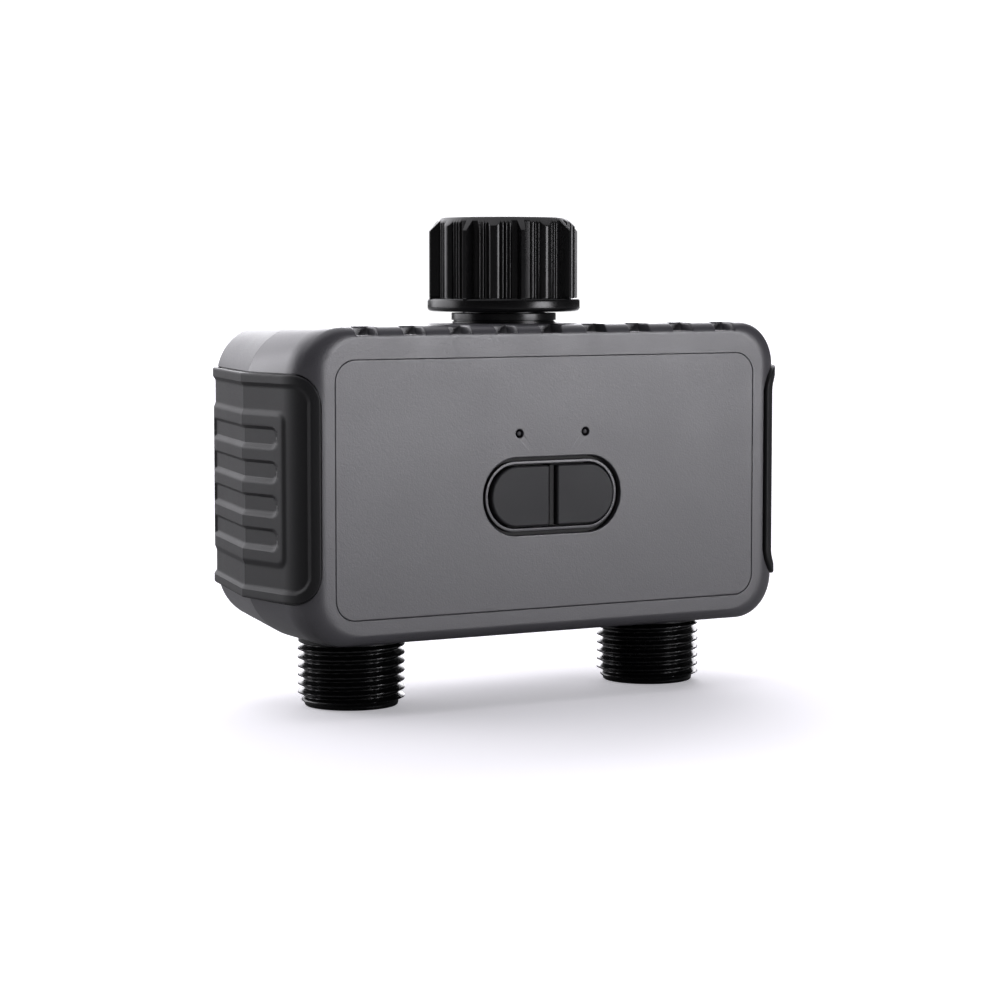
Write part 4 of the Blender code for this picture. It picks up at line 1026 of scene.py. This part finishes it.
def make_inlet_seals():
    washer = [(7.4, 107.5), (7.65, 107.25), (12.05, 107.25), (12.3, 107.5), (12.3, 109.5), (12.05, 109.75),
              (7.65, 109.75), (7.4, 109.5)]
    show(spin(washer, 96, name="hose_washer"), "seal_rubber", "housing", "inlet_washer")
    screen = [(0, 96.5), (4.3, 96.5), (4.6, 96.7), (7.2, 105.6), (7.35, 105.9), (9.8, 106.0), (9.8, 106.95),
              (6.7, 106.95), (6.4, 106.6), (4.1, 97.3), (3.9, 97.1), (0, 97.1)]
    show(solid_spin("inlet_screen", screen, 96), "filter_mesh", "housing", "inlet_filter")


# Rear

def blade_tool(x, z, y_from, y_to, half_x, half_z):
    """One blade of a driver recess, tapering inwards."""
    verts = []
    for y, share in ((y_from, 0.55), (y_to, 1.0)):
        for sx, sz in ((-1, -1), (1, -1), (1, 1), (-1, 1)):
            verts.append((x + sx * half_x * share, y, z + sz * half_z * share))
    faces = [[0, 1, 2, 3], [4, 5, 6, 7], [0, 1, 5, 4], [1, 2, 6, 5], [2, 3, 7, 6], [3, 0, 4, 7]]
    return build("tool", verts, faces)


def make_screw(name, node, body, x, z, seat, length, head_r, shank_r, head_height):
    tip = seat - length
    shank = [(0, tip), (shank_r * 0.5, tip), (shank_r, tip + 1), (shank_r, seat)]
    head = [(head_r - 0.15, seat), (head_r, seat + 0.15), (head_r, seat + head_height * 0.45)]
    for radius_share, height_share in ((0.95, 0.68), (0.80, 0.88), (0.55, 0.98)):
        head.append((head_r * radius_share, seat + head_height * height_share))
    piece = solid_spin(name, shank + head + [(0, seat + head_height)], 48, (x, z), "Y", 35.0)
    reach, width = head_r * 0.62, head_r * 0.15
    for half_x, half_z in ((reach, width), (width, reach)):
        blade = blade_tool(x, z, seat + head_height * 0.3, seat + head_height + 0.3, half_x, half_z)
        carve(piece, [blade], sharp=35.0)
    show(piece, "steel", body, node)


def make_screws():
    """Seat, length, head radius, shank radius and head height follow each screw's place."""
    for number, (x, z) in enumerate(HOUSING_SCREWS, 1):
        make_screw(f"case_screw_{number}", f"housing_screw_{number}", "housing", x, z,
                   37.4, 30.0, 2.7, 1.05, 2.0)
    for side, sign in SIDES:
        make_screw(f"cover_screw_{side}", f"door_screw_{side}", "battery_door", sign * DOOR_SCREW_X,
                   BODY_MID_Z, REAR_DEPTH + DOOR_PROUD + 0.3, 7.0, 2.4, 0.85, 1.2)


def make_door():
    front = REAR_DEPTH + DOOR_PROUD - DOOR_THICKNESS
    back = REAR_DEPTH + DOOR_PROUD
    edge = 0.4
    rows = [(0.6, front), (0.1, front), (0, front + 0.1), (0, back - edge - 0.1)]
    rows += [(inset, back - edge + rise) for inset, rise in rounding(edge, 5)]
    rows += [(edge + 0.1, back), (2.4, back), (2.5, back - 0.06), (2.6, back - 0.2), (2.9, back - 0.2),
             (3.0, back - 0.06), (3.1, back), (3.4, back)]
    verts, faces = skin(plate_loops(DOOR_HALF, BODY_MID_Z, rows, True))
    door = build("battery_cover", verts, faces)
    bars = []
    for z in (BODY_MID_Z - 14, BODY_MID_Z + 14):
        verts, faces = skin([[(x, y, z + dz) for x, dz in ((-26, -1.5), (26, -1.5), (26, 1.5), (-26, 1.5))]
                             for y in (34.95, front + 0.5)])
        bars.append(build("tool", verts, faces))
    carve(door, bars, "UNION")
    holes = []
    for _, sign in SIDES:
        holes.append(cylinder_y(1.6, front - 1, REAR_DEPTH + 2, sign * DOOR_SCREW_X, BODY_MID_Z, 40))
    carve(door, holes)
    show(door, "housing_grey", "battery_door", "battery_door")


def make_door_seal():
    seat = REAR_DEPTH + DOOR_PROUD - DOOR_THICKNESS - 0.3
    bay = (BAY_HALF[0], BAY_HALF[1], 1.0)
    rows = [(-1.0, seat - 0.6), (-1.7, seat - 0.6), (-1.8, seat - 0.5), (-1.8, seat - 0.12), (-1.68, seat),
            (-1.02, seat), (-0.9, seat - 0.12), (-0.9, seat - 0.5)]
    verts, faces = skin(plate_loops(bay, BAY_Z, rows, True), closed=True)
    show(build("cover_seal", verts, faces), "seal_rubber", "housing", "battery_door_seal")


def make_cells():
    """AA cells with a rolled shoulder, an insulating ring and a nub."""
    radius, length, y, base = 7.25, 49.5, 27.2, 31.0
    profile = [(0, 0), (5.6, 0), (6.3, 0.12), (6.9, 0.4), (radius - 0.06, 0.8), (radius, 1.1),
               (radius, length - 1.1), (radius - 0.06, length - 0.7), (6.95, length - 0.3),
               (6.5, length - 0.1),
               (5.9, length - 0.35), (3.4, length - 0.35), (2.9, length - 0.1), (2.75, length + 0.2),
               (2.7, length + 0.85), (2.45, length + 1.0), (0, length + 1.0)]
    for number in range(4):
        x = (number - 1.5) * 14.9
        flipped = number % 2 == 1
        rows = [(r, base + (length + 1.0 - h if flipped else h)) for r, h in profile]
        cell = solid_spin(f"aa_cell_{number + 1}", rows, 64, (x, y), sharp=35.0)
        show(cell, "cell_jacket", "housing", f"battery_cell_{number + 1}")
        cell.data.materials.append(FINISH["steel"])
        cell.data.materials.append(FINISH["cell_band"])
        for polygon in cell.data.polygons:
            height = polygon.center.z / MM - base
            share = length + 1.0 - height if flipped else height
            if share < 1.0 or share > length - 0.9:
                polygon.material_index = 1
            elif share > length - 14:
                polygon.material_index = 2


def dress_cad_nodes():
    """CAD nodes whose shape is right keep it, and take a finish here."""
    slots = {entry["node"]: entry["material_slot"] for entry in frame["record"]["subparts"]}
    for name, node in frame["nodes"].items():
        if node.hide_render:
            continue
        node.data.materials.clear()
        node.data.materials.append(FINISH[slots[name]])


# Stage

FLOOR_HALF = 4000
FLOOR_Z = -0.1

def make_floor():
    """A white floor that looks evenly lit, but throws little light back up at the object."""
    corners = ((-1, -1), (1, -1), (1, 1), (-1, 1))
    verts = [(x * FLOOR_HALF, y * FLOOR_HALF, FLOOR_Z) for x, y in corners]
    floor = build("floor", verts, [[0, 1, 2, 3]])
    material = node_material("floor_white", (0.98, 0.97, 1.0), 0.8, specular=0.0, mottle=0.002, grain=60,
                             bump=0.0)
    tree = material.node_tree
    shader = tree.nodes["Principled BSDF"]
    shader.inputs["Emission Color"].default_value = (0.96, 0.95, 1.0, 1.0)
    shader.inputs["Emission Strength"].default_value = 0.36
    grey = add_node(tree, "BsdfDiffuse", {"Color": (0.27, 0.27, 0.27, 1.0)})
    camera_mix(tree, grey.outputs["BSDF"], shader.outputs["BSDF"], tree.nodes["Material Output"])
    floor.data.materials.append(material)


def camera_mix(tree, unseen, seen, output):
    """Show one shader to the camera and light the scene with the other."""
    path = add_node(tree, "LightPath")
    mix = add_node(tree, "MixShader")
    tree.links.new(path.outputs["Is Camera Ray"], mix.inputs["Fac"])
    tree.links.new(unseen, mix.inputs[1])
    tree.links.new(seen, mix.inputs[2])
    tree.links.new(mix.outputs["Shader"], output.inputs["Surface"])


# Soft lights of the studio: direction, cosine at the edge, cosine where it is full, strength
SOFT_LIGHTS = (
    ((0.0, 0.45, 0.90), 0.50, 0.90, 1.1),  # overhead, a little behind
    ((0.49, 0.86, 0.16), 0.955, 0.985, 2.8),  # low behind, for the top edges
    ((0.05, 0.85, 0.50), 0.84, 0.95, 1.15),  # high behind
    ((-0.66, 0.75, 0.05), 0.80, 0.95, 3.2),  # left rear, for the grip
    ((0.52, 0.70, 0.48), 0.94, 0.97, 5.0),  # small, behind, for the rims of the pockets
    ((0.51, -0.86, -0.03), 0.945, 0.985, 10.6),  # front right, for the face
)
ROOM_LIGHT = 0.05

# Camera, in millimetres from the parting plane
CAMERA_FROM = (-378.3, -638.4, 111.1)
CAMERA_AT = (-0.93, 0.0, 49.76)
CAMERA_LENS = 103.39


def make_lights():
    world = bpy.data.worlds.new("studio")
    bpy.context.scene.world = world
    world.use_nodes = True
    tree = world.node_tree
    link = tree.links.new
    tree.nodes.clear()
    output = add_node(tree, "OutputWorld")
    place_node = add_node(tree, "TexCoord")
    total = add_node(tree, "Value").outputs["Value"]
    total.default_value = ROOM_LIGHT
    for direction, edge, full, strength in SOFT_LIGHTS:
        dot = add_node(tree, "VectorMath", {1: Vector(direction).normalized()}, operation="DOT_PRODUCT")
        link(place_node.outputs["Generated"], dot.inputs[0])
        ramp = add_node(tree, "MapRange", {"From Min": edge, "From Max": full, "To Max": strength},
                        interpolation_type="SMOOTHSTEP")
        link(dot.outputs["Value"], ramp.inputs["Value"])
        add = add_node(tree, "Math", operation="ADD")
        link(total, add.inputs[0])
        link(ramp.outputs["Result"], add.inputs[1])
        total = add.outputs["Value"]
    soft = add_node(tree, "Background", {"Color": (0.97, 0.96, 1.0, 1.0)})
    link(total, soft.inputs["Strength"])
    white = add_node(tree, "Background", {"Color": (1.0, 1.0, 1.0, 1.0), "Strength": 1.05})
    camera_mix(tree, soft.outputs["Background"], white.outputs["Background"], output)


def make_camera():
    data = bpy.data.cameras.new("camera")
    data.sensor_width = 36.0
    data.lens = CAMERA_LENS
    camera = bpy.data.objects.new("camera", data)
    location, target = (Vector(point) for point in place([CAMERA_FROM, CAMERA_AT]))
    camera.location = location
    camera.rotation_mode = "QUATERNION"
    camera.rotation_quaternion = (target - location).to_track_quat("-Z", "Y")
    bpy.context.scene.collection.objects.link(camera)
    bpy.context.scene.camera = camera


make_front_shell()
make_rear_shell()
make_grips()
make_face_panel()
make_keys()
make_lenses()
make_nut()
make_outlets()
make_manifold()
make_inlet_seals()
make_door()
make_door_seal()
make_screws()
make_cells()
dress_cad_nodes()
make_floor()
make_lights()
make_camera()
bpy.context.scene.view_settings.view_transform = "Standard"
